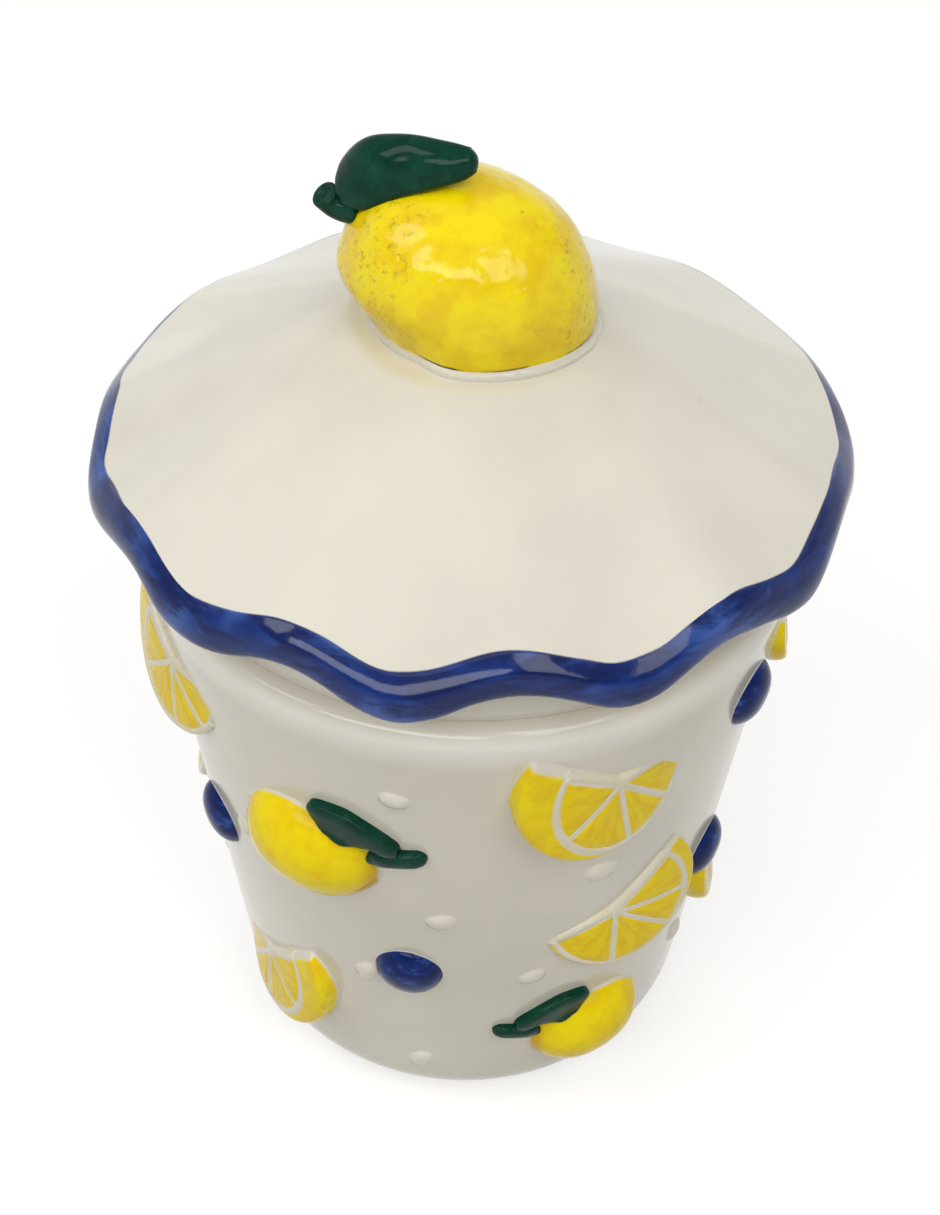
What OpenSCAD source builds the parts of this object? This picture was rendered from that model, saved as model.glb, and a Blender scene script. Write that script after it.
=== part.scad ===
// Covered jam pot of glazed earthenware: a tapered pot with lemons, lemon slices and berries
// in relief, and a domed lid with a ruffled brim, a rolled blue rim and a lemon for a knob.
// The origin is the centre of the foot's resting face. +Z is up and the front looks along -Y.

/* [Pot] */
// Height of the pot from the table to the rim that carries the lid
pot_height = 96; // [88:1:106]
// Radius at which the wall's slope meets the rim
rim_r = 46.4; // [45:0.2:49]
// Radius at which the wall's slope meets the table
base_r = 35.6; // [34.4:0.2:38]
// Outer radius of the flat foot
foot_r = 26; // [25:0.2:31]
// Thickness of the pot's wall
wall_thick = 5.2; // [4.6:0.1:6]
// Thickness of the pot's floor
floor_thick = 6; // [5:0.2:8]
// Radius of the rounded shoulder under the lid
shoulder_round = 2.6; // [2:0.1:3]
// Radius of the rounded inner edge of the mouth
mouth_round = 0.9; // [0.5:0.1:1.2]
// Radius of the fillet between the floor and the wall inside
floor_round = 7; // [4:0.5:10]
// Width of the ring that the pot stands on
foot_width = 4.5; // [3:0.5:7]
// Depth of the recess inside the foot's ring
foot_recess = 1.4; // [0.8:0.2:2.4]

/* [Lid] */
// How far the lid's rim reaches beyond the pot's rim
lid_overhang = 5.6; // [4.6:0.1:7]
// Height of the rolled rim's lower edge above the pot's rim
brim_height = 9.6; // [8:0.2:12]
// Rise of the dome from the rolled rim to the knob
dome_rise = 16; // [12:0.5:20]
// Thickness of the dome
dome_thick = 4.6; // [4:0.2:5.2]
// Radius of the flat on top that carries the knob
knob_flat_r = 16.6; // [16.2:0.2:19]
// Number of lobes of the ruffled brim
lobes = 11; // [8:1:14]
// How far a lobe stands out sideways at the rim
ruffle_out = 0.6; // [0.3:0.1:1]
// How far a lobe dips at the rim
ruffle_dip = 1.3; // [0.4:0.1:2]
// Height of the rolled rim
roll_height = 5.8; // [5:0.2:7]
// Thickness of the rolled rim
roll_thick = 3.8; // [3:0.2:4.6]
// Depth of the ring that locates the lid inside the mouth
ring_depth = 6.5; // [4:0.5:9]
// Thickness of the locating ring
ring_thick = 3.4; // [2.8:0.2:3.8]
// Clearance between the locating ring and the mouth
ring_gap = 0.8; // [0.5:0.1:1.4]
// Thickness of the wall that lifts the dome off the pot's rim
skirt_thick = 4.2; // [3.8:0.1:5]

/* [Knob] */
// Length of the knob's lemon from tip to tip
knob_length = 35; // [31:0.5:37]
// Largest radius of the knob's lemon
knob_r = 14.2; // [12.5:0.1:15]
// Height of the lemon's middle above the flat that it sits on
knob_lift = 5.4; // [4:0.2:7]
// Height of the bead of slip around the lemon's foot
bead_height = 1.2; // [0.8:0.1:2]
// Width of the bead of slip around the lemon's foot
bead_width = 1.1; // [0.7:0.1:1.5]
// Length of the knob's leaf
knob_leaf_length = 19; // [16:0.5:21]
// Width of the knob's leaf
knob_leaf_width = 10.5; // [8:0.5:12]
// Thickness of the knob's leaf
knob_leaf_thick = 4; // [3:0.2:5]
// Radius of the knob's stalk
knob_stalk_r = 2.3; // [1.8:0.1:2.8]
// Length of the knob's stalk
knob_stalk_length = 7.5; // [6:0.5:9]

/* [Relief] */
// Length of a whole lemon on the wall
fruit_length = 24; // [20:0.5:26]
// Radius of a whole lemon on the wall
fruit_r = 8.8; // [7.5:0.1:9.5]
// How far a whole lemon stands out from the wall
fruit_proud = 5.6; // [4:0.2:7]
// Length of a leaf on the wall
leaf_length = 15; // [12:0.5:17]
// Width of a leaf on the wall
leaf_width = 5; // [4:0.5:6.5]
// How far a leaf stands out from the wall
leaf_proud = 4.2; // [3.4:0.2:5]
// Length of a stalk on the wall
stalk_length = 6.5; // [5:0.5:8]
// Radius of a stalk on the wall
stalk_r = 1.4; // [1:0.1:1.8]
// Radius of the largest lemon slice
slice_r = 14.2; // [12:0.2:15]
// Height of the dome that a slice is cut from
slice_dome = 10.4; // [9:0.2:12]
// How far a slice's cut face stands out from the wall in the middle of its straight side
slice_proud = 1; // [0.8:0.1:2]
// Width of the white pith lines
pith_width = 1.1; // [0.8:0.1:1.4]
// Depth of the pith lines below the flesh
pith_depth = 1; // [0.6:0.1:1.4]
// Radius of a berry
berry_r = 4.8; // [4:0.1:5.6]
// How far a berry stands out from the wall
berry_proud = 2.3; // [1.8:0.1:3]
// Radius of a white droplet
droplet_r = 1.8; // [1.2:0.1:2.4]
// How far a droplet stands out from the wall
droplet_proud = 1; // [0.6:0.1:1.2]

/* [Hidden] */
$fn = 48;

// One overrun serves every cut.
overrun = 2;

// Slope of the wall, and the angle that it leans out by
slope = (rim_r - base_r) / pot_height;
lean = atan(slope);

function wall_r(z) = base_r + slope * z;
function inner_r(z) = wall_r(z) - wall_thick / cos(lean);

// The rounding at the foot is the one that touches both the table and the wall.
foot_round = (base_r - foot_r) / (1 / cos(lean) - slope);

// The flat rim that the lid sits on lies between these two radii.
seat_outer_r = wall_r(pot_height - shoulder_round) - shoulder_round / cos(lean);
seat_inner_r = inner_r(pot_height - mouth_round) + mouth_round / cos(lean);

// Mean radius of the lid's rim, and the heights of its rolled edge and of the knob's flat
lid_r = rim_r + lid_overhang;
roll_bottom = pot_height + brim_height;
roll_top = roll_bottom + roll_height;
knob_plane = roll_top + dome_rise;

// The dome meets the rolled rim on a ring between these two points.
edge_share = 0.68;
edge_r = lid_r - edge_share * roll_thick;
dome_curve = 1.06;

// The locating ring clears the narrowest part of the mouth that it reaches.
ring_outer_r = inner_r(pot_height - ring_depth) - ring_gap;
ring_round = 0.8;
skirt_round = 0.6;

// The ruffle fades out towards the middle of the lid.
fade_start_share = 0.4;
fade_curve = 1.5;
lobe_turn = 293;
lobe_shares = [1.3, 0.85, 0.7, 0.5, 0.65, 1, 0.8, 0.8, 0.9, 1, 1.4];
steps_in_lobe = 10;
steps = lobes * steps_in_lobe;

// The knob's lemon lies with its tip low, to the right and a little to the front.
knob_turn = -17;
knob_tip = 16;
knob_shift_share = -0.026;

// Places on the wall: angle from the front, height as a share of the pot's, turn on the wall,
// which side shows its skin or carries its leaf, and size as a share of the largest.
fruit_place_shares = [
    [-29.8, 0.68, -13, 1, 1],
    [30.8, 0.2, 12, -1, 0.9],
    [118, 0.64, 16, -1, 1],
    [-156, 0.7, -16, 1, 1],
    [152, 0.27, -22, 1, 0.92]
];
slice_place_shares = [
    [24, 0.87, -6, 1, 0.93],
    [33.5, 0.53, 24, -0.3, 0.88],
    [-48, 0.27, 14, -1, 0.88],
    [-66, 0.87, 0, 1, 0.86],
    [74, 0.385, -10, 1, 0.66],
    [79.5, 0.88, 0, 1, 0.54],
    [156, 0.88, -6, -1, 0.94],
    [-101, 0.5, 24, 1, 0.9],
    [-160, 0.36, -18, -0.4, 0.9]
];
berry_place_shares = [
    [-11.3, 0.41], [-61, 0.54], [61, 0.84], [64, 0.455],
    [104, 0.25], [-124, 0.8], [178, 0.62], [-114, 0.24]
];
droplet_place_shares = [
    [-12, 0.85], [-4.3, 0.56], [-20.6, 0.38], [26.5, 0.64], [15, 0.39], [-9.4, 0.14], [-48, 0.6],
    [44, 0.4], [62, 0.24], [98, 0.84], [134, 0.82], [128, 0.44], [-176, 0.14],
    [-134, 0.54], [-136, 0.16], [-84, 0.28], [-98, 0.78]
];

function arc(centre, r, from, to, count) = [
    for (i = [0:count])
        let (a = from + (to - from) * i / count)
        [centre[0] + r * cos(a), centre[1] + r * sin(a)]
];

// The wall's own slope from table to rim, which the relief is seated on
module wall_cone() {
    cylinder(r1 = base_r, r2 = rim_r, h = pot_height, $fn = 240);
}

module pot_outside() {
    rotate_extrude($fn = 96) polygon(concat(
        [[0, 0], [foot_r, 0]],
        arc([foot_r, foot_round], foot_round, -90, -lean, 6),
        arc([seat_outer_r, pot_height - shoulder_round], shoulder_round, -lean, 90, 7),
        [[0, pot_height]]
    ));
}

module pot_inside() {
    fillet_r = inner_r(floor_thick + floor_round) - floor_round / cos(lean);
    rotate_extrude($fn = 96) polygon(concat(
        [[0, floor_thick], [fillet_r, floor_thick]],
        arc([fillet_r, floor_thick + floor_round], floor_round, -90, -lean, 6),
        arc([seat_inner_r, pot_height - mouth_round], mouth_round, 180 - lean, 90, 4),
        [[seat_inner_r, pot_height + overrun], [0, pot_height + overrun]]
    ));
}

module pot_body() {
    recess_r = foot_r - foot_width;
    color("ivory") difference() {
        pot_outside();
        pot_inside();
        translate([0, 0, -overrun])
            cylinder(r = recess_r, h = overrun + foot_recess, $fn = 96);
    }
}

// Strength of the ruffle at an angle, between the shares of the two nearest lobes
function lobe_share(a) =
    let (
        k = ((a - lobe_turn + 720) % 360) / 360 * lobes,
        i = floor(k),
        count = len(lobe_shares)
    )
    lobe_shares[i % count] * (1 - k + i) + lobe_shares[(i + 1) % lobes % count] * (k - i);
function ruffle(a) = lobe_share(a) * cos(lobes * (a - lobe_turn));
function fade(r) =
    let (start = fade_start_share * lid_r)
    r > start ? pow((r - start) / (lid_r - start), fade_curve) : 0;
function ruffled(p, a) =
    let (
        wave = ruffle(a) * fade(p[0]),
        r = p[0] + ruffle_out * wave
    )
    [r * cos(a), r * sin(a), p[1] - ruffle_dip * wave];
function ruffled_rings(section) = [
    for (p = section) for (j = [0:steps - 1]) ruffled(p, 360 * j / steps)
];

// Two triangles between ring i and ring k at step j, cut along one of their diagonals
function strip(i, k, j, flip) =
    let (
        n = (j + 1) % steps,
        a = i * steps + j,
        b = i * steps + n,
        c = k * steps + n,
        d = k * steps + j
    )
    flip ? [[a, b, d], [b, c, d]] : [[a, b, c], [a, c, d]];

function dome_z(r) =
    let (share = max(r - knob_flat_r, 0) / (edge_r - knob_flat_r))
    knob_plane - dome_rise * pow(share, dome_curve);
function under_z(r) = dome_z(r) - dome_thick;

edge_top = [edge_r, roll_top];
edge_bottom = [edge_r, under_z(edge_r)];

// Upper and lower surface of the dome as rings, from the knob's flat to the edge and back
dome_ring_shares = [0, 0.14, 0.3, 0.46, 0.62, 0.76, 0.89];
module dome() {
    radii = [for (s = dome_ring_shares) knob_flat_r + s * (edge_r - knob_flat_r)];
    last = len(radii) - 1;
    section = concat(
        [for (r = radii) [r, dome_z(r)]],
        [edge_top, edge_bottom],
        [for (i = [last:-1:0]) [radii[i], under_z(radii[i])]]
    );
    rings = len(section);
    polyhedron(
        points = ruffled_rings(section),
        faces = concat(
            [[for (j = [steps - 1:-1:0]) j]],
            [for (i = [0:rings - 2]) for (j = [0:steps - 1]) for (t = strip(i, i + 1, j, false)) t],
            [[for (j = [0:steps - 1]) (rings - 1) * steps + j]]
        )
    );
}

// Wall that stands on the pot's rim, and the ring inside the mouth, turned in one piece
module skirt() {
    skirt_r = seat_outer_r;
    skirt_inner_r = skirt_r - skirt_thick;
    ring_inner_r = ring_outer_r - ring_thick;
    ring_bottom = pot_height - ring_depth;
    rotate_extrude($fn = 96) polygon(concat(
        [[skirt_r, under_z(skirt_r) + dome_thick / 2]],
        arc([skirt_r - skirt_round, pot_height + skirt_round], skirt_round, 0, -90, 3),
        [[ring_outer_r, pot_height]],
        arc([ring_outer_r - ring_round, ring_bottom + ring_round], ring_round, 0, -90, 3),
        arc([ring_inner_r + ring_round, ring_bottom + ring_round], ring_round, -90, -180, 3),
        [[ring_inner_r, pot_height + ring_thick / 2]],
        [[skirt_inner_r, pot_height + ring_thick / 2 + skirt_thick / 2]],
        [[skirt_inner_r, under_z(skirt_inner_r) + dome_thick / 2]]
    ));
}

module lid_dome() {
    color("ivory") union() {
        dome();
        skirt();
    }
}

// Rolled rim: a soft D in section, laid against the dome's edge all round
roll_out_shares = [0.45, 0.84, 1, 0.96, 0.72, 0.4];
roll_up_shares = [0.84, 0.64, 0.38, 0.16, 0.04, 0];
edge_lip_share = 0.05;
module lid_rim_roll() {
    inner = edge_r;
    outer = lid_r - inner;
    section = concat(
        [edge_top],
        [for (i = [0:len(roll_out_shares) - 1])
            [inner + outer * roll_out_shares[i], roll_bottom + roll_height * roll_up_shares[i]]],
        [[inner, roll_bottom + edge_lip_share * roll_height]],
        [edge_bottom]
    );
    rings = len(section);
    color("mediumblue") polyhedron(
        points = ruffled_rings(section),
        faces = concat(
            [for (i = [0:rings - 2]) for (j = [0:steps - 1]) for (t = strip(i, i + 1, j, false)) t],
            [for (j = [0:steps - 1]) for (t = strip(rings - 1, 0, j, true)) t]
        )
    );
}

// Half outline of a lemon along its axis: an oval body with a blunt nub at each end
nub_share = 0.3;
body_share = 0.9;
nub_reach_share = 0.32;
lemon_points = 20;
function lemon_radius(u, half, r) =
    let (
        body = half * body_share,
        nub_half = half * nub_reach_share,
        from_nub = abs(u) - (half - nub_half),
        body_part = abs(u) < body ? r * sqrt(1 - pow(u / body, 2)) : 0,
        nub_part = abs(from_nub) < nub_half ? nub_share * r * sqrt(1 - pow(from_nub / nub_half, 2)) : 0
    )
    max(body_part, nub_part);
module lemon_shape(length, r) {
    half = length / 2;
    rotate([0, 90, 0]) rotate_extrude($fn = 64) polygon([
        for (i = [0:lemon_points])
            let (u = -half * cos(180 * i / lemon_points))
            [i == 0 || i == lemon_points ? 0 : lemon_radius(u, half, r), u]
    ]);
}

module knob_form(grow) {
    translate([knob_shift_share * knob_length, 0, knob_plane + knob_lift])
        rotate([0, knob_tip, knob_turn])
            lemon_shape(knob_length + 2 * grow, knob_r + grow);
}

// Everything above the flat that carries the knob, up to a height
module above_flat(height) {
    translate([0, 0, knob_plane]) cylinder(r = knob_length, h = height, $fn = 48);
}

module knob_lemon() {
    color("gold") intersection() {
        knob_form(0);
        above_flat(2 * knob_length);
    }
}

module knob_bead() {
    color("whitesmoke") difference() {
        intersection() {
            knob_form(bead_width);
            above_flat(bead_height);
        }
        knob_form(0);
    }
}

// The knob's leaf lies along the lemon's upper left, broad at the stalk and narrow at its tip.
leaf_from_shares = [-0.5, 0.16, 0.78];
leaf_turn = -14;
leaf_rise = 24;
leaf_roll = 52;
leaf_half_shares = [0.12, 0.62, 0.9, 1, 0.96, 0.82, 0.62, 0.4, 0.16];
leaf_sides = 12;
module knob_leaf_form() {
    count = len(leaf_half_shares);
    half_w = knob_leaf_width / 2;
    half_t = knob_leaf_thick / 2;
    bend = knob_leaf_width / 6;
    points = [
        for (i = [0:count - 1]) for (j = [0:leaf_sides - 1])
            let (
                s = i / (count - 1),
                a = 360 * j / leaf_sides,
                w = half_w * leaf_half_shares[i],
                t = half_t * sqrt(leaf_half_shares[i])
            )
            [knob_leaf_length * s, w * cos(a), t * sin(a) + bend * sin(180 * s)]
    ];
    polyhedron(points = points, faces = concat(
        [[for (j = [0:leaf_sides - 1]) j]],
        [for (i = [0:count - 2]) for (j = [0:leaf_sides - 1])
            let (
                n = (j + 1) % leaf_sides,
                a = i * leaf_sides + j,
                b = i * leaf_sides + n,
                c = b + leaf_sides,
                d = a + leaf_sides
            )
            each [[a, d, c], [a, c, b]]],
        [[for (j = [leaf_sides - 1:-1:0]) (count - 1) * leaf_sides + j]]
    ));
}
module at_knob_leaf() {
    translate([
        leaf_from_shares[0] * knob_length,
        leaf_from_shares[1] * knob_r,
        knob_plane + knob_lift + leaf_from_shares[2] * knob_r
    ])
        rotate([0, 0, leaf_turn]) rotate([0, -leaf_rise, 0]) rotate([leaf_roll, 0, 0])
            children();
}
stalk_dip = -150;
stalk_taper_share = 0.8;
module knob_stalk_form() {
    rotate([0, stalk_dip, 0]) translate([0, 0, -knob_stalk_length / 2]) union() {
        cylinder(r1 = knob_stalk_r, r2 = stalk_taper_share * knob_stalk_r, h = knob_stalk_length, $fn = 32);
        sphere(r = knob_stalk_r, $fn = 32);
    }
}
module knob_leaf() {
    color("darkgreen") difference() {
        at_knob_leaf() knob_leaf_form();
        knob_form(0);
    }
}
module knob_stalk() {
    color("darkgreen") difference() {
        at_knob_leaf() knob_stalk_form();
        knob_form(0);
        at_knob_leaf() knob_leaf_form();
    }
}

// Puts its children on the wall: their +Z stands out, their +Y climbs the wall
module on_wall(angle, height, turn) {
    rotate([0, 0, angle]) translate([0, -wall_r(height), height])
        rotate([90 + lean, 0, 0]) rotate([0, 0, turn])
            children();
}

module whole_lemon_form(place) {
    on_wall(place[0], place[1] * pot_height, place[2])
        translate([0, 0, fruit_proud - fruit_r])
            lemon_shape(fruit_length * place[4], fruit_r * place[4]);
}
module whole_lemon(place) {
    color("gold") difference() {
        whole_lemon_form(place);
        wall_cone();
    }
}

// A leaf is two crossing arcs with a crowned top, and its stalk a round peg that follows the wall.
leaf_at_shares = [0.2, 0.88];
leaf_angle = 158;
leaf_crown_share = 0.8;
stalk_at_shares = [0.4, 0.64];
stalk_angle = -4;
stalk_fall = 21;
module leaf_outline() {
    arc_r = (pow(leaf_length / 2, 2) + pow(leaf_width / 2, 2)) / leaf_width;
    intersection() {
        translate([0, arc_r - leaf_width / 2]) circle(r = arc_r, $fn = 96);
        translate([0, leaf_width / 2 - arc_r]) circle(r = arc_r, $fn = 96);
    }
}
module leaf_form() {
    crown_r = leaf_crown_share * leaf_width;
    intersection() {
        translate([0, 0, -leaf_width]) linear_extrude(height = leaf_width + leaf_proud) leaf_outline();
        translate([-leaf_length, 0, leaf_proud - crown_r]) rotate([0, 90, 0])
            cylinder(r = crown_r, h = 2 * leaf_length, $fn = 64);
    }
}
module stalk_form() {
    cylinder(r = stalk_r, h = stalk_length, $fn = 32);
    translate([0, 0, stalk_length]) sphere(r = stalk_r, $fn = 32);
}
module lemon_leaf(place) {
    side = place[3];
    color("darkgreen") difference() {
        on_wall(place[0], place[1] * pot_height, place[2]) scale(place[4]) {
            translate([side * leaf_at_shares[0] * fruit_length, leaf_at_shares[1] * fruit_r, 0])
                rotate([0, 0, side * leaf_angle]) leaf_form();
            translate([side * stalk_at_shares[0] * fruit_length, stalk_at_shares[1] * fruit_r, stalk_r / 2])
                rotate([0, side * (90 + stalk_fall), side * stalk_angle]) stalk_form();
        }
        wall_cone();
        whole_lemon_form(place);
    }
}

// A slice is a low dome, cut straight across its upper side and by a sloping face.
// Its cut face leans back to the straight side and away from the side that shows its skin,
// and its flesh lies off centre, away from that side.
face_tip = 15;
face_side = 10;
web_share = 0.8;
web_shift_share = 0.17;

// A slice that shows less skin has a wider flesh, nearer to its middle.
function flesh_share(side) = web_share + web_shift_share * (1 - abs(side));
segments = 4;
pith_fill_share = 0.8;
dome_points = 10;

module slice_dome_form() {
    rotate_extrude($fn = 64) polygon(concat(
        [[0, -slice_dome], [slice_r, -slice_dome]],
        [for (i = [0:dome_points])
            let (a = 90 * i / dome_points)
            [i == dome_points ? 0 : slice_r * cos(a), slice_dome * sin(a)]]
    ));
}
module at_face(side) {
    translate([0, 0, slice_proud]) rotate([-face_tip, side * face_side, 0]) children();
}
module slice_solid(side) {
    reach = 2 * slice_r;
    difference() {
        slice_dome_form();
        translate([-reach, 0, -reach]) cube([2 * reach, reach, 2 * reach]);
        at_face(side) translate([-reach, -reach, 0]) cube([2 * reach, 2 * reach, reach]);
    }
}

// One flesh segment between two pith lines, with its point at the middle of the slice
module segment(i, flesh_r) {
    step = 180 / segments;
    from = 180 + i * step;
    to = from + step;
    mid = from + step / 2;
    inset = pith_width / 2 / sin(step / 2);
    tip = [inset * cos(mid), inset * sin(mid)];
    far = 2 * slice_r;
    intersection() {
        circle(r = flesh_r - pith_width, $fn = 96);
        polygon([
            tip,
            [tip[0] + far * cos(from), tip[1] + far * sin(from)],
            [tip[0] + far * cos(to), tip[1] + far * sin(to)]
        ]);
    }
}
module web_outline(flesh_r) {
    difference() {
        circle(r = flesh_r, $fn = 96);
        translate([0, -pith_width / 2]) for (i = [0:segments - 1]) segment(i, flesh_r);
    }
}
module web(side, height) {
    at_face(side) translate([side * web_shift_share * slice_r, 0, -pith_depth])
        linear_extrude(height = height) web_outline(flesh_share(side) * slice_r);
}

module slice(place) {
    color("gold") difference() {
        on_wall(place[0], place[1] * pot_height, place[2]) scale(place[4]) difference() {
            slice_solid(place[3]);
            web(place[3], pith_depth + overrun);
        }
        wall_cone();
    }
}
module slice_pith(place) {
    color("lightyellow") difference() {
        on_wall(place[0], place[1] * pot_height, place[2]) scale(place[4]) intersection() {
            slice_solid(place[3]);
            web(place[3], pith_depth * pith_fill_share);
        }
        wall_cone();
    }
}

// A low round boss on the wall, as wide where it meets the wall as it is asked to be
boss_points = 5;
module boss(angle, height_share, r, proud) {
    ball_r = (r * r + proud * proud) / (2 * proud);
    spread = asin(r / ball_r);
    difference() {
        on_wall(angle, height_share * pot_height, 0)
            rotate_extrude($fn = 48) polygon(concat(
                [[0, -overrun], [r, -overrun]],
                [for (i = [0:boss_points])
                    let (a = spread * (1 - i / boss_points))
                    [i == boss_points ? 0 : ball_r * sin(a), proud - ball_r * (1 - cos(a))]]
            ));
        wall_cone();
    }
}
module berry(place) {
    color("mediumblue") boss(place[0], place[1], berry_r, berry_proud);
}
module glaze_droplets() {
    color("ivory") for (place = droplet_place_shares) boss(place[0], place[1], droplet_r, droplet_proud);
}

pot_body();
lid_dome();
lid_rim_roll();
knob_bead();
knob_lemon();
knob_leaf();
knob_stalk();
whole_lemon(fruit_place_shares[0]);  // lemon_1
lemon_leaf(fruit_place_shares[0]);  // lemon_1_leaf
whole_lemon(fruit_place_shares[1]);  // lemon_2
lemon_leaf(fruit_place_shares[1]);  // lemon_2_leaf
whole_lemon(fruit_place_shares[2]);  // lemon_3
lemon_leaf(fruit_place_shares[2]);  // lemon_3_leaf
whole_lemon(fruit_place_shares[3]);  // lemon_4
lemon_leaf(fruit_place_shares[3]);  // lemon_4_leaf
whole_lemon(fruit_place_shares[4]);  // lemon_5
lemon_leaf(fruit_place_shares[4]);  // lemon_5_leaf
slice(slice_place_shares[0]);  // slice_1
slice_pith(slice_place_shares[0]);  // slice_1_pith
slice(slice_place_shares[1]);  // slice_2
slice_pith(slice_place_shares[1]);  // slice_2_pith
slice(slice_place_shares[2]);  // slice_3
slice_pith(slice_place_shares[2]);  // slice_3_pith
slice(slice_place_shares[3]);  // slice_4
slice_pith(slice_place_shares[3]);  // slice_4_pith
slice(slice_place_shares[4]);  // slice_5
slice_pith(slice_place_shares[4]);  // slice_5_pith
slice(slice_place_shares[5]);  // slice_6
slice_pith(slice_place_shares[5]);  // slice_6_pith
slice(slice_place_shares[6]);  // slice_7
slice_pith(slice_place_shares[6]);  // slice_7_pith
slice(slice_place_shares[7]);  // slice_8
slice_pith(slice_place_shares[7]);  // slice_8_pith
slice(slice_place_shares[8]);  // slice_9
slice_pith(slice_place_shares[8]);  // slice_9_pith
berry(berry_place_shares[0]);  // berry_1
berry(berry_place_shares[1]);  // berry_2
berry(berry_place_shares[2]);  // berry_3
berry(berry_place_shares[3]);  // berry_4
berry(berry_place_shares[4]);  // berry_5
berry(berry_place_shares[5]);  // berry_6
berry(berry_place_shares[6]);  // berry_7
berry(berry_place_shares[7]);  // berry_8
glaze_droplets();
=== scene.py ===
"""Looks of a covered jam pot of glazed earthenware: a cream pot with lemons, slices and
berries in relief, and a ruffled lid with a cobalt rim and a lemon for a knob. It is laid out
as an add-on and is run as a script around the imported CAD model."""

from contextlib import contextmanager
from math import atan, atan2, copysign, cos, hypot, pi, sin, sqrt, tan, tau
from types import SimpleNamespace

import bpy
from mathutils import Matrix, Vector, noise


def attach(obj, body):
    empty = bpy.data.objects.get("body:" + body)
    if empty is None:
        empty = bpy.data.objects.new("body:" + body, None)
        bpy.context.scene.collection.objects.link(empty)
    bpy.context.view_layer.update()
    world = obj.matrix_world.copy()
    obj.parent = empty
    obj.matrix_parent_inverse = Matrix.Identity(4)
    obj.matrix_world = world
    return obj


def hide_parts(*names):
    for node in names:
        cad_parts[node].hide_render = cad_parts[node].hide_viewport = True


bl_info = {
    "name": "Covered jam pot",
    "version": (1, 0, 0),
    "blender": (4, 5, 0),
    "location": "3D View > Sidebar > Jam pot",
    "description": "Models and glazes a covered jam pot with lemons in relief",
    "category": "Add Mesh",
}

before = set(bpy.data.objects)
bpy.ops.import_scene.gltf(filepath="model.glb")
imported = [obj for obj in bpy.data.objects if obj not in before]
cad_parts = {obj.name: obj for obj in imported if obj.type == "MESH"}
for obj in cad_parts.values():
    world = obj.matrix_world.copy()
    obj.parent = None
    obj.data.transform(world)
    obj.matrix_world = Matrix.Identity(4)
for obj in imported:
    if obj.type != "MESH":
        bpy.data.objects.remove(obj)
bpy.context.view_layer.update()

MM = 0.001
DEGREE = pi / 180

# Places on the wall, as in the CAD source: angle from the front, height as a share of the
# pot's, turn on the wall, side that shows its skin or carries its leaf, and size as a share.
FRUIT_PLACES = [
    (-29.8, 0.68, -13, 1, 1),
    (30.8, 0.2, 12, -1, 0.9),
    (118, 0.64, 16, -1, 1),
    (-156, 0.7, -16, 1, 1),
    (152, 0.27, -22, 1, 0.92),
]
SLICE_PLACES = [
    (24, 0.87, -6, 1, 0.93),
    (33.5, 0.53, 24, -0.3, 0.88),
    (-48, 0.27, 14, -1, 0.88),
    (-66, 0.87, 0, 1, 0.86),
    (74, 0.385, -10, 1, 0.66),
    (79.5, 0.88, 0, 1, 0.54),
    (156, 0.88, -6, -1, 0.94),
    (-101, 0.5, 24, 1, 0.9),
    (-160, 0.36, -18, -0.4, 0.9),
]
BERRY_PLACES = [
    (-11.3, 0.41),
    (-61, 0.54),
    (61, 0.84),
    (64, 0.455),
    (104, 0.25),
    (-124, 0.8),
    (178, 0.62),
    (-114, 0.24),
]
DROPLET_PLACES = [
    (-12, 0.85), (-4.3, 0.56), (-20.6, 0.38), (26.5, 0.64), (15, 0.39), (-9.4, 0.14),
    (-48, 0.6), (44, 0.4), (62, 0.24), (98, 0.84), (134, 0.82), (128, 0.44), (-176, 0.14),
    (-134, 0.54), (-136, 0.16), (-84, 0.28), (-98, 0.78),
]

# Strength of each lobe of the ruffled brim, going round from the angle where they start
LOBE_STRENGTHS = [1.3, 0.85, 0.7, 0.5, 0.65, 1, 0.8, 0.8, 0.9, 1, 1.4]
LOBE_START = 293
LOBES = len(LOBE_STRENGTHS)
# Share of the lid's radius where the ruffle starts, and how steeply it grows from there
FADE_START = 0.4
FADE_POWER = 1.5

# Heights over the wall, in millimetres: the one at which a relief motif ends, and the level
# that its foot runs out to
SUNK = -0.08
SKIRT = -0.13

# How far the knob is set into the lid's flat, and how far its bead of slip stands above it
SET_IN = 0.3
BEAD_TOP = 1.05
# Middle of the knob's lemon along the lid, as a share of the lemon's length
KNOB_SHIFT = -0.026

# Angles in degrees up to which an edge looks soft, on turned pieces and on the relief
TURNED_SOFT, RELIEF_SOFT = 60, 75
GLAZE_IOR = 1.5

# Steps round the lid and its rolled rim, the same so that they meet
LID_STEPS = 264
# Stands for a distance from the rim where the cobalt never reaches
OUT_OF_REACH = -20


def length(name, description, default):
    return bpy.props.FloatProperty(
        name=name, description=description, default=default * MM, min=0,
        subtype="DISTANCE", unit="LENGTH",
    )


def colour(name, description, default):
    return bpy.props.FloatVectorProperty(
        name=name, description=description, default=default, min=0, max=1,
        size=3, subtype="COLOR",
    )


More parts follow.
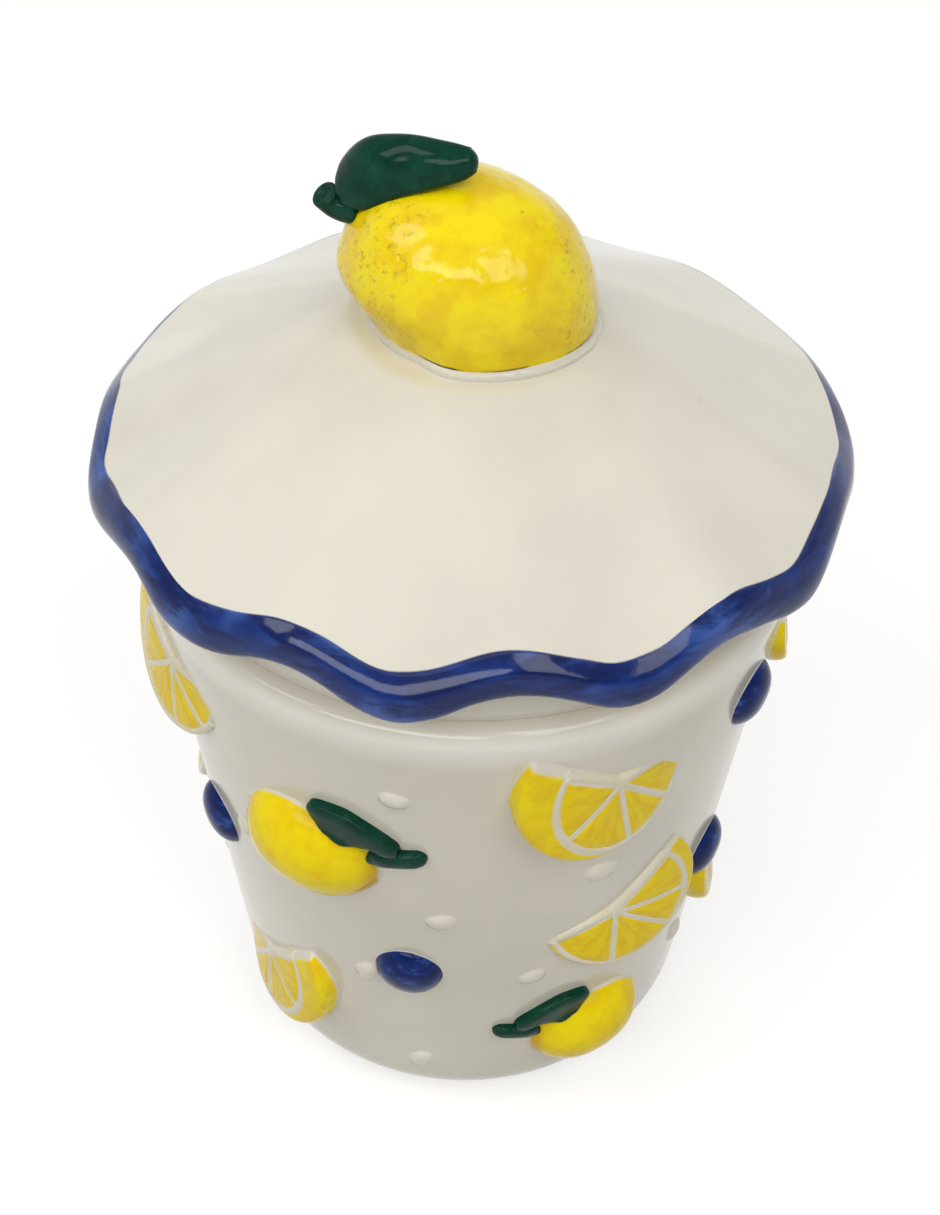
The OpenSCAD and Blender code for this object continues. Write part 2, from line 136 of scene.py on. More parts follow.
class JamPotSizes(bpy.types.PropertyGroup):
    """Lengths of the jam pot, the same as those of the CAD model"""

    pot_height: length("Pot height", "Height of the pot up to the rim that carries the lid", 96)
    rim_r: length("Rim radius", "Radius at which the wall's slope meets the rim", 46.4)
    base_r: length("Base radius", "Radius at which the wall's slope meets the table", 35.6)
    foot_r: length("Foot radius", "Outer radius of the flat foot", 26)
    wall_thick: length("Wall", "Thickness of the pot's wall", 5.2)
    lid_overhang: length("Lid overhang", "How far the lid's rim reaches beyond the pot's", 5.6)
    brim_height: length("Brim height", "Height of the rolled rim above the pot's rim", 9.6)
    dome_rise: length("Dome rise", "Rise of the dome from the rolled rim to the knob", 16)
    dome_thick: length("Dome thickness", "Thickness of the lid's dome", 4.6)
    knob_flat_r: length("Knob flat", "Radius of the flat that carries the knob", 16.6)
    ruffle_out: length("Ruffle out", "How far a lobe of the brim stands out", 0.6)
    ruffle_dip: length("Ruffle dip", "How far a lobe of the brim dips", 1.3)
    roll_height: length("Rolled rim", "Height of the rolled rim", 5.8)
    roll_thick: length("Rolled rim thickness", "Thickness of the rolled rim", 3.8)
    knob_length: length("Knob length", "Length of the knob's lemon", 35)
    knob_r: length("Knob radius", "Largest radius of the knob's lemon", 14.2)
    knob_lift: length("Knob lift", "Height of the lemon's middle above its flat", 5.4)
    fruit_length: length("Lemon length", "Length of a lemon on the wall", 24)
    fruit_r: length("Lemon radius", "Radius of a lemon on the wall", 8.8)
    slice_r: length("Slice radius", "Radius of the largest slice", 14.2)
    berry_r: length("Berry radius", "Radius of a berry", 4.8)
    droplet_r: length("Droplet radius", "Radius of a white droplet", 1.8)


class JamPotColours(bpy.types.PropertyGroup):
    """Colours of the glazes"""

    cream: colour("Cream", "White tin glaze over the whole pot", (0.80, 0.768, 0.665))
    cream_shade: colour("Cream shade", "Where the white glaze lies thick", (0.73, 0.70, 0.605))
    # Painted highlight: a lighter cream for the band just under the pot's rim
    painted_shoulder_highlight: colour("Painted highlight", "White glaze under the pot's rim", (0.97, 0.95, 0.88))
    pinhole: colour("Pinhole", "Specks in the white glaze", (0.33, 0.24, 0.14))
    yellow: colour("Yellow", "Lemon glaze", (1.0, 0.795, 0.003))
    yellow_deep: colour("Deep yellow", "Lemon glaze where it lies thick", (0.91, 0.63, 0.003))
    ripe: colour("Ripe", "Lemon glaze at a lemon's tip", (0.72, 0.40, 0.005))
    flesh: colour("Flesh", "Flesh of a slice", (0.95, 0.73, 0.006))
    flesh_deep: colour("Deep flesh", "Streaks in the flesh of a slice", (0.88, 0.60, 0.003))
    knob_line: colour("Knob line", "Where the knob meets its bead", (0.10, 0.045, 0.012))
    pith: colour("Pith", "Thin glaze on the white lines of a slice", (0.78, 0.72, 0.52))
    freckle: colour("Freckle", "Olive specks in the lemon glaze", (0.36, 0.30, 0.03))
    cobalt: colour("Cobalt", "Blue glaze of the rim and berries", (0.003, 0.030, 0.20))
    cobalt_deep: colour("Deep cobalt", "Blue glaze where it lies thick", (0.002, 0.012, 0.10))
    cobalt_thin: colour("Thin cobalt", "Blue glaze where the brush ran dry", (0.05, 0.12, 0.42))
    green: colour("Green", "Leaf glaze", (0.001, 0.040, 0.022))
    green_light: colour("Light green", "Leaf glaze where it lies thin", (0.005, 0.066, 0.040))
    biscuit: colour("Biscuit", "Bare clay of the foot ring", (0.62, 0.50, 0.36))
    biscuit_dark: colour("Dark biscuit", "Darker grains of the clay", (0.5, 0.38, 0.26))


def sizes():
    """The lengths in millimetres, with some that follow from them."""
    group = bpy.context.scene.jam_pot_sizes
    s = SimpleNamespace(
        **{name: getattr(group, name) / MM for name in JamPotSizes.__annotations__}
    )
    s.lid_r = s.rim_r + s.lid_overhang
    s.roll_top = s.pot_height + s.brim_height + s.roll_height
    s.flat = s.roll_top + s.dome_rise
    s.slope = (s.rim_r - s.base_r) / s.pot_height
    s.lean = atan(s.slope)
    return s


# Curves


def arc(centre, radius, start, end, count):
    """Points on a circle from one angle to another, in degrees."""
    steps = [(start + (end - start) * i / count) * DEGREE for i in range(count + 1)]
    return [(centre[0] + radius * cos(a), centre[1] + radius * sin(a)) for a in steps]


def line(start, end, count):
    """Points after start up to end, evenly spaced."""
    return [
        tuple(a + (b - a) * i / count for a, b in zip(start, end)) for i in range(1, count + 1)
    ]


def smooth_curve(points, count):
    """A curve through the points, with count steps between two of them."""
    ends = [points[0], *points, points[-1]]
    out = [points[0]]
    for p, a, b, n in zip(ends, ends[1:], ends[2:], ends[3:]):
        for i in range(1, count + 1):
            t = i / count
            out.append(tuple(
                0.5 * (2 * v + (w - u) * t + (2 * u - 5 * v + 4 * w - x) * t * t
                       + (3 * v - u - 3 * w + x) * t ** 3)
                for u, v, w, x in zip(p, a, b, n)
            ))
    return out


def smooth_step(low, high, value):
    t = min(max((value - low) / (high - low), 0), 1)
    return t * t * (3 - 2 * t)


def soft_min(a, b, width):
    """The smaller of two numbers, rounded where they cross."""
    return 0.5 * (a + b - sqrt((a - b) ** 2 + width * width))


def soft_max(a, b, width):
    return -soft_min(-a, -b, width)


# Mesh steps


def select_only(piece):
    bpy.ops.object.select_all(action="DESELECT")
    piece.select_set(True)
    bpy.context.view_layer.objects.active = piece


def start(add, name, **options):
    """Adds a primitive with nothing else selected."""
    bpy.ops.object.select_all(action="DESELECT")
    add(**options)
    piece = bpy.context.object
    piece.name = piece.data.name = name
    return piece


@contextmanager
def editing(piece):
    """Edit mode with the whole of the piece selected."""
    select_only(piece)
    bpy.ops.object.mode_set(mode="EDIT")
    bpy.ops.mesh.select_all(action="SELECT")
    yield
    bpy.ops.object.mode_set(mode="OBJECT")


def extruded(step):
    bpy.ops.mesh.extrude_region_move(TRANSFORM_OT_translate={"value": step})


def faced_outwards():
    bpy.ops.mesh.select_all(action="SELECT")
    bpy.ops.mesh.normals_make_consistent(inside=False)


def turned(name, profile, steps, axis=(0, 0, 1)):
    """A shape spun about an axis from points (radius, height) in millimetres."""
    along = Vector(axis)
    out = Vector((0, 0, 1)) if along.x else Vector((1, 0, 0))
    path = [(out * r + along * z) * MM for r, z in profile]
    piece = start(bpy.ops.mesh.primitive_plane_add, name, size=MM)
    with editing(piece):
        bpy.ops.mesh.merge(type="CENTER")
        bpy.ops.transform.translate(value=path[0])
        for at, to in zip(path, path[1:]):
            extruded(to - at)
        bpy.ops.mesh.select_all(action="SELECT")
        bpy.ops.mesh.spin(steps=steps, angle=tau, center=(0, 0, 0), axis=axis)
        bpy.ops.mesh.select_all(action="SELECT")
        bpy.ops.mesh.remove_doubles(threshold=1e-6)
        faced_outwards()
    return piece


def reshape(piece, move):
    """Moves every vertex: move takes and gives x, y and z in millimetres."""
    for vertex in piece.data.vertices:
        vertex.co = Vector(move(*(vertex.co / MM))) * MM
    piece.data.update()


def closed_below(piece, depth):
    """Closes an open sheet with an edge and a flat back."""
    with editing(piece):
        bpy.ops.mesh.select_mode(type="EDGE")
        bpy.ops.mesh.select_all(action="DESELECT")
        bpy.ops.mesh.select_non_manifold()
        extruded((0, 0, -depth * MM))
        bpy.ops.mesh.edge_face_add()
        faced_outwards()
        bpy.ops.mesh.select_mode(type="VERT")


def cut_at(piece, height, above=False):
    """Cuts a piece flat at a height and takes away what is below it, or above it."""
    with editing(piece):
        bpy.ops.mesh.bisect(
            plane_co=(0, 0, height * MM), plane_no=(0, 0, 1), use_fill=True,
            clear_inner=not above, clear_outer=above,
        )


def copied(piece, name):
    """A copy with its own mesh."""
    select_only(piece)
    bpy.ops.object.duplicate(linked=False)
    copy = bpy.context.object
    copy.name = copy.data.name = name
    return copy


def mirrored(piece):
    """Turns a piece left to right in its own mesh."""
    reshape(piece, lambda x, y, z: (-x, y, z))
    with editing(piece):
        bpy.ops.mesh.flip_normals()


def joined(pieces, name):
    select_only(pieces[0])
    for piece in pieces:
        piece.select_set(True)
    bpy.ops.object.join()
    whole = bpy.context.object
    whole.name = whole.data.name = name
    return whole


def modified(piece, kind, **settings):
    """Adds a modifier and applies it."""
    modifier = piece.modifiers.new(kind, kind)
    for name, value in settings.items():
        setattr(modifier, name, value)
    select_only(piece)
    bpy.ops.object.modifier_apply(modifier=modifier.name)


def fused(piece, voxel, rounds):
    """Makes overlapping closed forms one soft form."""
    modified(piece, "REMESH", mode="VOXEL", voxel_size=voxel * MM, use_smooth_shade=True)
    modified(piece, "SMOOTH", iterations=rounds)


def removed(*pieces):
    for piece in pieces:
        bpy.data.meshes.remove(piece.data)


def number_on_points(piece, name, number):
    """Keeps number(x, y, z), in millimetres, of every vertex as an attribute."""
    attribute = piece.data.attributes.new(name, "FLOAT", "POINT")
    values = [number(*(vertex.co / MM)) for vertex in piece.data.vertices]
    attribute.data.foreach_set("value", values)


def finished(piece, body, nodes, glaze, angle=TURNED_SOFT):
    """Shades a piece smoothly, gives it its glaze and ties it to the frame."""
    select_only(piece)
    bpy.ops.object.shade_smooth_by_angle(angle=angle * DEGREE)
    piece.data.materials.clear()
    piece.data.materials.append(glaze)
    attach(piece, body)
    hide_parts(*nodes)


# Forms on the wall


def wall_r(height):
    s = sizes()
    return s.base_r + s.slope * height


def pressed_on(piece, place):
    """Bends a flat motif, whose +Z stands out and +Y climbs, onto the pot's wall."""
    s = sizes()
    angle, share, turn, size = place[0] * DEGREE, place[1], place[2] * DEGREE, place[4]
    cos_turn, sin_turn = cos(turn), sin(turn)
    cos_lean, sin_lean = cos(s.lean), sin(s.lean)

    def move(x, y, z):
        across = (x * cos_turn - y * sin_turn) * size
        up = (x * sin_turn + y * cos_turn) * size
        height = share * s.pot_height + up * cos_lean
        radius = s.base_r + s.slope * height
        around = angle + across / radius
        out = radius + z * size * cos_lean
        return out * sin(around), -out * cos(around), height - z * size * sin_lean

    reshape(piece, move)


def sprig(master, place, name, node, glaze):
    """Presses a copy of a motif onto the wall, turned left to right where its side asks."""
    piece = copied(master, name)
    if place[3] < 0:
        mirrored(piece)
    pressed_on(piece, place)
    finished(piece, "pot", [node], glaze, RELIEF_SOFT)


def sunk_edge(height, middle):
    """Distance from the middle to where a form falls below the wall, by the angle."""
    finest, furthest = 0.01, 30

    def reach(angle):
        found = step = 0.5
        while step > finest and found < furthest:
            x = middle[0] + (found + step) * cos(angle)
            y = middle[1] + (found + step) * sin(angle)
            if height(x, y, 0) > SUNK:
                found += step
            else:
                step /= 2
        return found

    return reach


def relief(name, height, middle=(0, 0), rays=200, rings=44, edge=None, back=0.8):
    """A closed motif with height(x, y, share) over the wall, spun as a disc about its middle
    and then drawn out to its edge, where share is 1. The edge is where the height falls just
    below the wall, or edge(angle) away from the middle."""
    disc = turned(name, [(1 - (1 - k / rings) ** 1.25, 0) for k in range(rings + 1)], rays)
    edge = edge or sunk_edge(height, middle)
    reaches = [edge(tau * ray / rays) for ray in range(rays)]

    def move(x, y, z):
        share = hypot(x, y)
        angle = atan2(y, x) if share > 1e-6 else 0
        reach = share * reaches[round(angle / tau * rays) % rays]
        px, py = middle[0] + reach * cos(angle), middle[1] + reach * sin(angle)
        return px, py, height(px, py, share)

    reshape(disc, move)
    closed_below(disc, back)
    return disc


# Glazes


class Nodes:
    """The nodes of a material or of the world."""

    def __init__(self, owner):
        owner.use_nodes = True
        self.tree = owner.node_tree
        self.tree.nodes.clear()

    def add(self, kind, **settings):
        node = self.tree.nodes.new("ShaderNode" + kind)
        for name, value in settings.items():
            setattr(node, name, value)
        return node

    def put(self, socket, value):
        """Links a socket to another, or sets its value."""
        if isinstance(value, bpy.types.NodeSocket):
            self.tree.links.new(value, socket)
        else:
            socket.default_value = value

    def fill(self, node, **values):
        """Puts a value in each named socket, where _ stands for a space."""
        for name, value in values.items():
            self.put(node.inputs[name.replace("_", " ")], value)
        return node

    def ramp(self, value, low, high, to_low=0, to_high=1, kind="SMOOTHSTEP"):
        node = self.add("MapRange", interpolation_type=kind)
        self.fill(node, Value=value, From_Min=low, From_Max=high, To_Min=to_low, To_Max=to_high)
        return node.outputs[0]

    def maths(self, operation, total, *others):
        for other in others:
            node = self.add("Math", operation=operation)
            self.put(node.inputs[0], total)
            self.put(node.inputs[1], other)
            total = node.outputs[0]
        return total

    def plus(self, *terms):
        return self.maths("ADD", *terms)

    def times(self, *factors):
        return self.maths("MULTIPLY", *factors)

    def mixed(self, factor, a, b):
        """Colour a where factor is 0 and b where it is 1. A colour of the jam pot is its name."""
        node = self.add("Mix", data_type="RGBA")
        self.put(node.inputs[0], factor)
        for socket, value in ((node.inputs[6], a), (node.inputs[7], b)):
            if isinstance(value, str):
                value = getattr(bpy.context.scene.jam_pot_colours, value)
            if not isinstance(value, bpy.types.NodeSocket):
                value = (*value, 1)
            self.put(socket, value)
        return node.outputs[2]

    def seen(self):
        """1 for rays that show the background: from the camera, or off a gloss or a glass."""
        path = self.add("LightPath").outputs
        return self.maths("MAXIMUM", path["Is Camera Ray"], path["Is Glossy Ray"],
                          path["Is Transmission Ray"])


class Glaze(Nodes):
    """A node material. Lengths in its patterns are in millimetres."""

    def __init__(self, name, **constants):
        self.material = bpy.data.materials.new(name)
        super().__init__(self.material)
        self.shader = self.fill(self.add("BsdfPrincipled"), IOR=GLAZE_IOR, **constants)
        self.put(self.add("OutputMaterial").inputs[0], self.shader.outputs[0])
        self.place = self.scaled(self.add("TexCoord").outputs["Object"], (1 / MM,) * 3)

    def scaled(self, vector, scale):
        return self.fill(self.add("Mapping"), Vector=vector, Scale=scale).outputs[0]

    def noise(self, size, detail=2, rough=0.5, vector=None, distort=0):
        """Soft noise from 0 to 1 with spots of about that size."""
        node = self.fill(
            self.add("TexNoise"), Vector=vector or self.place, Scale=1 / size, Detail=detail,
            Roughness=rough, Distortion=distort,
        )
        return node.outputs[0]

    def cells(self, size):
        """Distance to scattered points about that far apart."""
        node = self.fill(self.add("TexVoronoi"), Vector=self.place, Scale=1 / size)
        return node.outputs["Distance"]

    def attribute(self, name, output="Fac"):
        return self.add("Attribute", attribute_name=name).outputs[output]

    def height(self):
        return self.fill(self.add("SeparateXYZ"), Vector=self.place).outputs["Z"]

    def done(self, base, *layers):
        """Colours the surface and raises it by layers of (pattern, depth in millimetres)."""
        self.fill(self.shader, Base_Color=base)
        normal = None
        for pattern, depth in layers:
            bump = self.fill(self.add("Bump"), Strength=1, Distance=depth * MM, Height=pattern)
            if normal:
                self.fill(bump, Normal=normal)
            normal = bump.outputs[0]
        self.fill(self.shader, Normal=normal)
        return self.material


def cream_layer(glaze):
    """The white glaze with its faint clouds and pinholes."""
    clouds = glaze.ramp(glaze.noise(26, 3), 0.35, 0.7)
    base = glaze.mixed(clouds, "cream", "cream_shade")
    specks = glaze.ramp(glaze.cells(5.5), 0.035, 0.02)
    sparse = glaze.ramp(glaze.noise(9, 1), 0.56, 0.6)
    return glaze.mixed(glaze.times(specks, sparse, 0.45), base, "pinhole")


def glaze_ripples(glaze):
    """Slow waves and a fine skin, as on a glaze that ran a little."""
    return (glaze.noise(14, 1), 0.22), (glaze.noise(1.6, 1), 0.006)


def cream_glaze():
    glaze = Glaze("cream_glaze", Roughness=0.1)
    return glaze.done(cream_layer(glaze), *glaze_ripples(glaze))


def pot_glaze():
    """Cream glaze, with bare clay where the pot stands, and a painted highlight in a band under
    the rim.
    """
    glaze = Glaze("pot_glaze", Specular_IOR_Level=0.4)
    bare = glaze.ramp(glaze.plus(glaze.height(), glaze.noise(3)), 1.1, 0.9)
    clay = glaze.mixed(glaze.noise(0.7, 3), "biscuit", "biscuit_dark")
    top = sizes().pot_height
    # Painted highlight: the cream is lightened in a band just under the rim, for the shine along
    # the shoulder
    height = glaze.plus(glaze.height(), glaze.noise(16))
    highlight_band = glaze.times(glaze.ramp(height, top - 7, top - 3),
                         glaze.ramp(height, top - 2, top + 0.5, 0.75, 0))
    cream = glaze.mixed(highlight_band, cream_layer(glaze), "painted_shoulder_highlight")
    glaze.fill(glaze.shader, Roughness=glaze.ramp(bare, 0, 1, 0.14, 0.75))
    return glaze.done(glaze.mixed(bare, cream, clay), *glaze_ripples(glaze))


def lid_glaze():
    """Cream glaze, with the cobalt of the rim brushed a little over its edge."""
    glaze = Glaze("lid_glaze", Roughness=0.08, Specular_IOR_Level=0.7)
    brushed = glaze.plus(glaze.attribute("rim_reach"),
                         glaze.ramp(glaze.noise(13, 1), 0.3, 0.7, -0.1, 0.6))
    edge = glaze.ramp(brushed, -0.12, 0.12)
    return glaze.done(glaze.mixed(edge, cream_layer(glaze), cobalt_layer(glaze)),
                      *glaze_ripples(glaze))


def cobalt_layer(glaze):
    """Blue brushed on in streaks that run round the pot."""
    streaks = glaze.noise(2.4, 4, 0.6, glaze.scaled(glaze.place, (0.3, 0.3, 1.5)), 0.4)
    patches = glaze.noise(11, 2)
    deep = glaze.mixed(glaze.ramp(streaks, 0.38, 0.66), "cobalt_deep", "cobalt")
    thin = glaze.times(glaze.ramp(patches, 0.46, 0.68), glaze.ramp(streaks, 0.34, 0.62), 0.8)
    return glaze.mixed(thin, deep, "cobalt_thin")


def cobalt_glaze():
    glaze = Glaze("cobalt_glaze", Roughness=0.09, Specular_IOR_Level=0.3)
    return glaze.done(cobalt_layer(glaze), (glaze.noise(9, 1), 0.2), (glaze.noise(1.4, 2), 0.012))


def berry_glaze():
    """Cobalt that thins to the white glaze at the berry's edge."""
    glaze = Glaze("berry_glaze", Roughness=0.14, Specular_IOR_Level=0.14)
    strokes = glaze.noise(1.7, 3, 0.6, glaze.scaled(glaze.place, (0.6, 0.6, 1.2)))
    blue = glaze.mixed(glaze.ramp(strokes, 0.35, 0.7), "cobalt_deep", "cobalt")
    blue = glaze.mixed(glaze.ramp(strokes, 0.52, 0.8), blue, "cobalt_thin")
    edge = glaze.ramp(glaze.attribute("coat"), 0.25, 0.85)
    return glaze.done(glaze.mixed(edge, cream_layer(glaze), blue), (glaze.noise(3.2, 2), 0.12))


def yellow_layer(glaze, mottle, where=None):
    """Lemon glaze: lighter and deeper clouds with a few olive freckles."""
    clouds = glaze.ramp(glaze.noise(5, 3, 0.6), 0.36, 0.68)
    yellow = glaze.mixed(clouds, "yellow", "yellow_deep")
    freckles = glaze.ramp(glaze.noise(0.9, 3, 0.65), 0.52, 0.7)
    where = where or glaze.ramp(glaze.noise(6, 2), 0.45, 0.65)
    return glaze.mixed(glaze.times(freckles, where, mottle), yellow, "freckle")


def faded(glaze, body, size, spread):
    """A coloured glaze that fades unevenly into the white glaze at a sprig's foot."""
    coat = glaze.plus(glaze.attribute("coat"),
                      glaze.ramp(glaze.noise(size, 2), 0.2, 0.8, -spread, spread))
    return glaze.mixed(glaze.ramp(coat, 0.1, 0.9), cream_layer(glaze), body)


def sprig_glaze():
    """Lemon glaze on the whole lemons of the wall, warmer at a lemon's tip."""
    glaze = Glaze("sprig_glaze", Roughness=0.14, Specular_IOR_Level=0.12)
    ripe = glaze.mixed(glaze.attribute("ripe"), yellow_layer(glaze, 0.1), "ripe")
    return glaze.done(faded(glaze, ripe, 2.2, 0.15),
                      (glaze.noise(6, 1), 0.1), (glaze.noise(0.8, 2), 0.02))


def pith_glaze():
    """The white glaze on the lines of a slice, a little yellow from the glaze beside it."""
    glaze = Glaze("pith_glaze", Roughness=0.12, Specular_IOR_Level=0.32)
    tinged = glaze.mixed(glaze.ramp(glaze.noise(3, 2), 0.3, 0.7), "cream", "pith")
    return glaze.done(tinged, (glaze.noise(1.6, 1), 0.02))


def slice_glaze():
    """Lemon glaze over the flesh, streaked from the middle of the slice outwards."""
    glaze = Glaze("slice_glaze", Roughness=0.14, Specular_IOR_Level=0.14)
    grain = glaze.attribute("grain", "Vector")
    juice = glaze.ramp(glaze.noise(1, 3, 0.6, grain), 0.35, 0.68)
    flesh = glaze.mixed(juice, "flesh", "flesh_deep")
    body = glaze.mixed(glaze.attribute("ripe"), yellow_layer(glaze, 0.2), flesh)
    return glaze.done(faded(glaze, body, 1.6, 0.1), (juice, 0.05), (glaze.noise(4, 1), 0.08))


def knob_glaze():
    """Lemon glaze with pores and freckles, and a dark line where it meets the bead."""
    glaze = Glaze("knob_glaze", Roughness=0.12, Specular_IOR_Level=0.3)
    worn = glaze.plus(glaze.attribute("worn"),
                      glaze.ramp(glaze.noise(7, 2), 0.3, 0.7, -0.35, 0.35))
    yellow = yellow_layer(glaze, 0.6, glaze.ramp(worn, 0.15, 0.9))
    pinholes = glaze.ramp(glaze.cells(4.2), 0.075, 0.05)
    yellow = glaze.mixed(glaze.times(pinholes, 0.5), yellow, "freckle")
    pores = glaze.ramp(glaze.cells(1.5), 0.1, 0.42)
    above = glaze.maths("SUBTRACT", glaze.height(), sizes().flat + BEAD_TOP)
    meeting = glaze.ramp(glaze.maths("ABSOLUTE", above, 0), 0.42, 0.12)
    broken = glaze.times(meeting, glaze.ramp(glaze.noise(7, 2), 0.36, 0.5))
    return glaze.done(glaze.mixed(broken, yellow, "knob_line"),
                      (pores, 0.03), (glaze.noise(4.5, 1), 0.35))


def leaf_glaze():
    glaze = Glaze("leaf_glaze", Roughness=0.1, Specular_IOR_Level=0.12)
    green = glaze.mixed(glaze.ramp(glaze.noise(3, 3, 0.6), 0.4, 0.75), "green", "green_light")
    return glaze.done(green, (glaze.noise(6, 1), 0.12), (glaze.noise(1.1, 2), 0.015))


# The pot and the lid


def pot_profile():
    """Half section of the pot, from the recess under its floor round to the floor inside."""
    s = sizes()
    lean_degrees = s.lean / DEGREE
    cos_lean = cos(s.lean)
    foot_round = (s.base_r - s.foot_r) / (1 / cos_lean - s.slope)
    shoulder, mouth, floor_round = 3.2, 0.9, 7
    floor, recess, foot_width = 6, 1.4, 4.5
    recess_round, foot_edge = 0.8, 0.6

    def inner_r(z):
        return wall_r(z) - s.wall_thick / cos_lean

    top = s.pot_height
    outer_seat = wall_r(top - shoulder) - shoulder / cos_lean
    inner_seat = inner_r(top - mouth) + mouth / cos_lean
    fillet_r = inner_r(floor + floor_round) - floor_round / cos_lean
    recess_r = s.foot_r - foot_width
    points = [(0, recess)] + line((0, recess), (recess_r - 1, recess), 6)
    points += arc((recess_r - 1, recess - recess_round), recess_round, 80, 10, 4)
    points += arc((recess_r + foot_edge, foot_edge), foot_edge, 180, 270, 4)
    points += line(points[-1], (s.foot_r - 0.4, 0), 3)
    points += arc((s.foot_r, foot_round), foot_round, -88, -lean_degrees, 16)
    shoulder_arc = arc((outer_seat, top - shoulder), shoulder, -lean_degrees, 90, 10)
    points += line(points[-1], shoulder_arc[0], 40)[:-1] + shoulder_arc
    points += line(points[-1], (inner_seat, top), 1)[:-1]
    mouth_arc = arc((inner_seat, top - mouth), mouth, 90, 180 - lean_degrees, 5)
    floor_arc = arc((fillet_r, floor + floor_round), floor_round, -lean_degrees, -90, 9)
    points += mouth_arc + line(mouth_arc[-1], floor_arc[0], 20)[:-1] + floor_arc
    points += line(points[-1], (0, floor), 8)
    return points


class JAMPOT_OT_pot(bpy.types.Operator):
    """Turn the pot with its foot ring, rounded shoulder and smooth inside"""

    bl_idname = "jampot.pot"
    bl_label = "Pot"

    def execute(self, context):
        pot = turned("pot_wall", pot_profile(), 200)
        finished(pot, "pot", ["pot_body"], pot_glaze())
        return {"FINISHED"}


def lobe_strength(angle):
    """Strength of the ruffle at an angle in degrees, blended between the nearest lobes."""
    turn = (angle - LOBE_START) % 360 / 360 * LOBES
    i = int(turn)
    share = smooth_step(0, 1, turn - i)
    return LOBE_STRENGTHS[i % LOBES] * (1 - share) + LOBE_STRENGTHS[(i + 1) % LOBES] * share


def ruffled(x, y, z):
    """Moves a point of the lid's brim out and down at a lobe, and in and up between two."""
    s = sizes()
    r = hypot(x, y)
    fade_start = FADE_START * s.lid_r
    if r <= fade_start:
        return x, y, z
    angle = atan2(y, x)
    wave = lobe_strength(angle / DEGREE) * cos(LOBES * (angle - LOBE_START * DEGREE))
    wave *= ((r - fade_start) / (s.lid_r - fade_start)) ** FADE_POWER
    out = (r + s.ruffle_out * wave) / r
    return x * out, y * out, z - s.ruffle_dip * wave


def lid_heights():
    """Height of the dome's top at a radius, and the radius of its edge."""
    s = sizes()
    inside_roll, dome_curve = 0.68, 1.06
    edge_r = s.lid_r - inside_roll * s.roll_thick

    def dome_z(r):
        share = max(r - s.knob_flat_r, 0) / (edge_r - s.knob_flat_r)
        return s.roll_top + s.dome_rise * (1 - share ** dome_curve)

    return dome_z, edge_r


def lid_profile():
    s = sizes()
    dome_z, edge_r = lid_heights()
    top = s.pot_height
    skirt_r, skirt_inner = 43.49, 39.29
    ring_outer, ring_inner, ring_bottom, ring_edge = 39.64, 36.24, top - 6.5, 0.8
    skirt_foot, skirt_fillet, hollow_fillet = 0.6, 0.9, 1.5
    under_brim = (48.4, 47.3, 46.2, 45.2, 44.4)
    under_dome = (36, 33, 30, 27, 24, 21, 18, 16.6)

    def under_z(r):
        return dome_z(r) - s.dome_thick

    points = [(0, dome_z(0))] + line((0, dome_z(0)), (s.knob_flat_r - 1, dome_z(0)), 5)
    radii = [s.knob_flat_r + (edge_r - s.knob_flat_r) * i / 44 for i in range(45)]
    points += [(r, dome_z(r)) for r in radii]
    points += line(points[-1], (edge_r, under_z(edge_r)), 4)
    points += [(r, under_z(r)) for r in under_brim]
    points += arc((skirt_r + skirt_fillet, under_z(skirt_r) - 1.2), skirt_fillet, 90, 180, 4)
    points += line(points[-1], (skirt_r, top + skirt_foot), 8)[:-1]
    points += arc((skirt_r - skirt_foot, top + skirt_foot), skirt_foot, 0, -90, 4)
    points += line(points[-1], (ring_outer + 0.4, top), 3)
    points += line((ring_outer, top - 0.4), (ring_outer, ring_bottom + ring_edge), 5)
    points += arc((ring_outer - ring_edge, ring_bottom + ring_edge), ring_edge, 0, -90, 4)
    points += arc((ring_inner + ring_edge, ring_bottom + ring_edge), ring_edge, -90, -180, 4)
    points += line(points[-1], (ring_inner, top + 1.7), 5)
    points += line(points[-1], (skirt_inner, top + 3.8), 3)
    points += line(points[-1], (skirt_inner, under_z(skirt_inner) - hollow_fillet), 4)
    hollow = (skirt_inner - hollow_fillet, under_z(skirt_inner) - 1.0)
    points += arc(hollow, hollow_fillet, 10, 60, 4)
    points += [(r, under_z(r)) for r in under_dome]
    return points + line(points[-1], (0, under_z(0)), 5)


class JAMPOT_OT_lid(bpy.types.Operator):
    """Turn the lid with its skirt and locating ring, and ruffle its brim"""

    bl_idname = "jampot.lid"
    bl_label = "Lid"

    def execute(self, context):
        s = sizes()
        dome_z, edge_r = lid_heights()
        lid = turned("lid_shell", lid_profile(), LID_STEPS)

        def rim_reach(x, y, z):
            return hypot(x, y) - edge_r if z > s.roll_top - 1 else OUT_OF_REACH

        def move(x, y, z):
            under = dome_z(hypot(x, y)) - s.dome_thick
            return (x, y, z) if z < under - 0.6 else ruffled(x, y, z)

        number_on_points(lid, "rim_reach", rim_reach)
        reshape(lid, move)
        finished(lid, "lid", ["lid_dome"], lid_glaze())
        return {"FINISHED"}


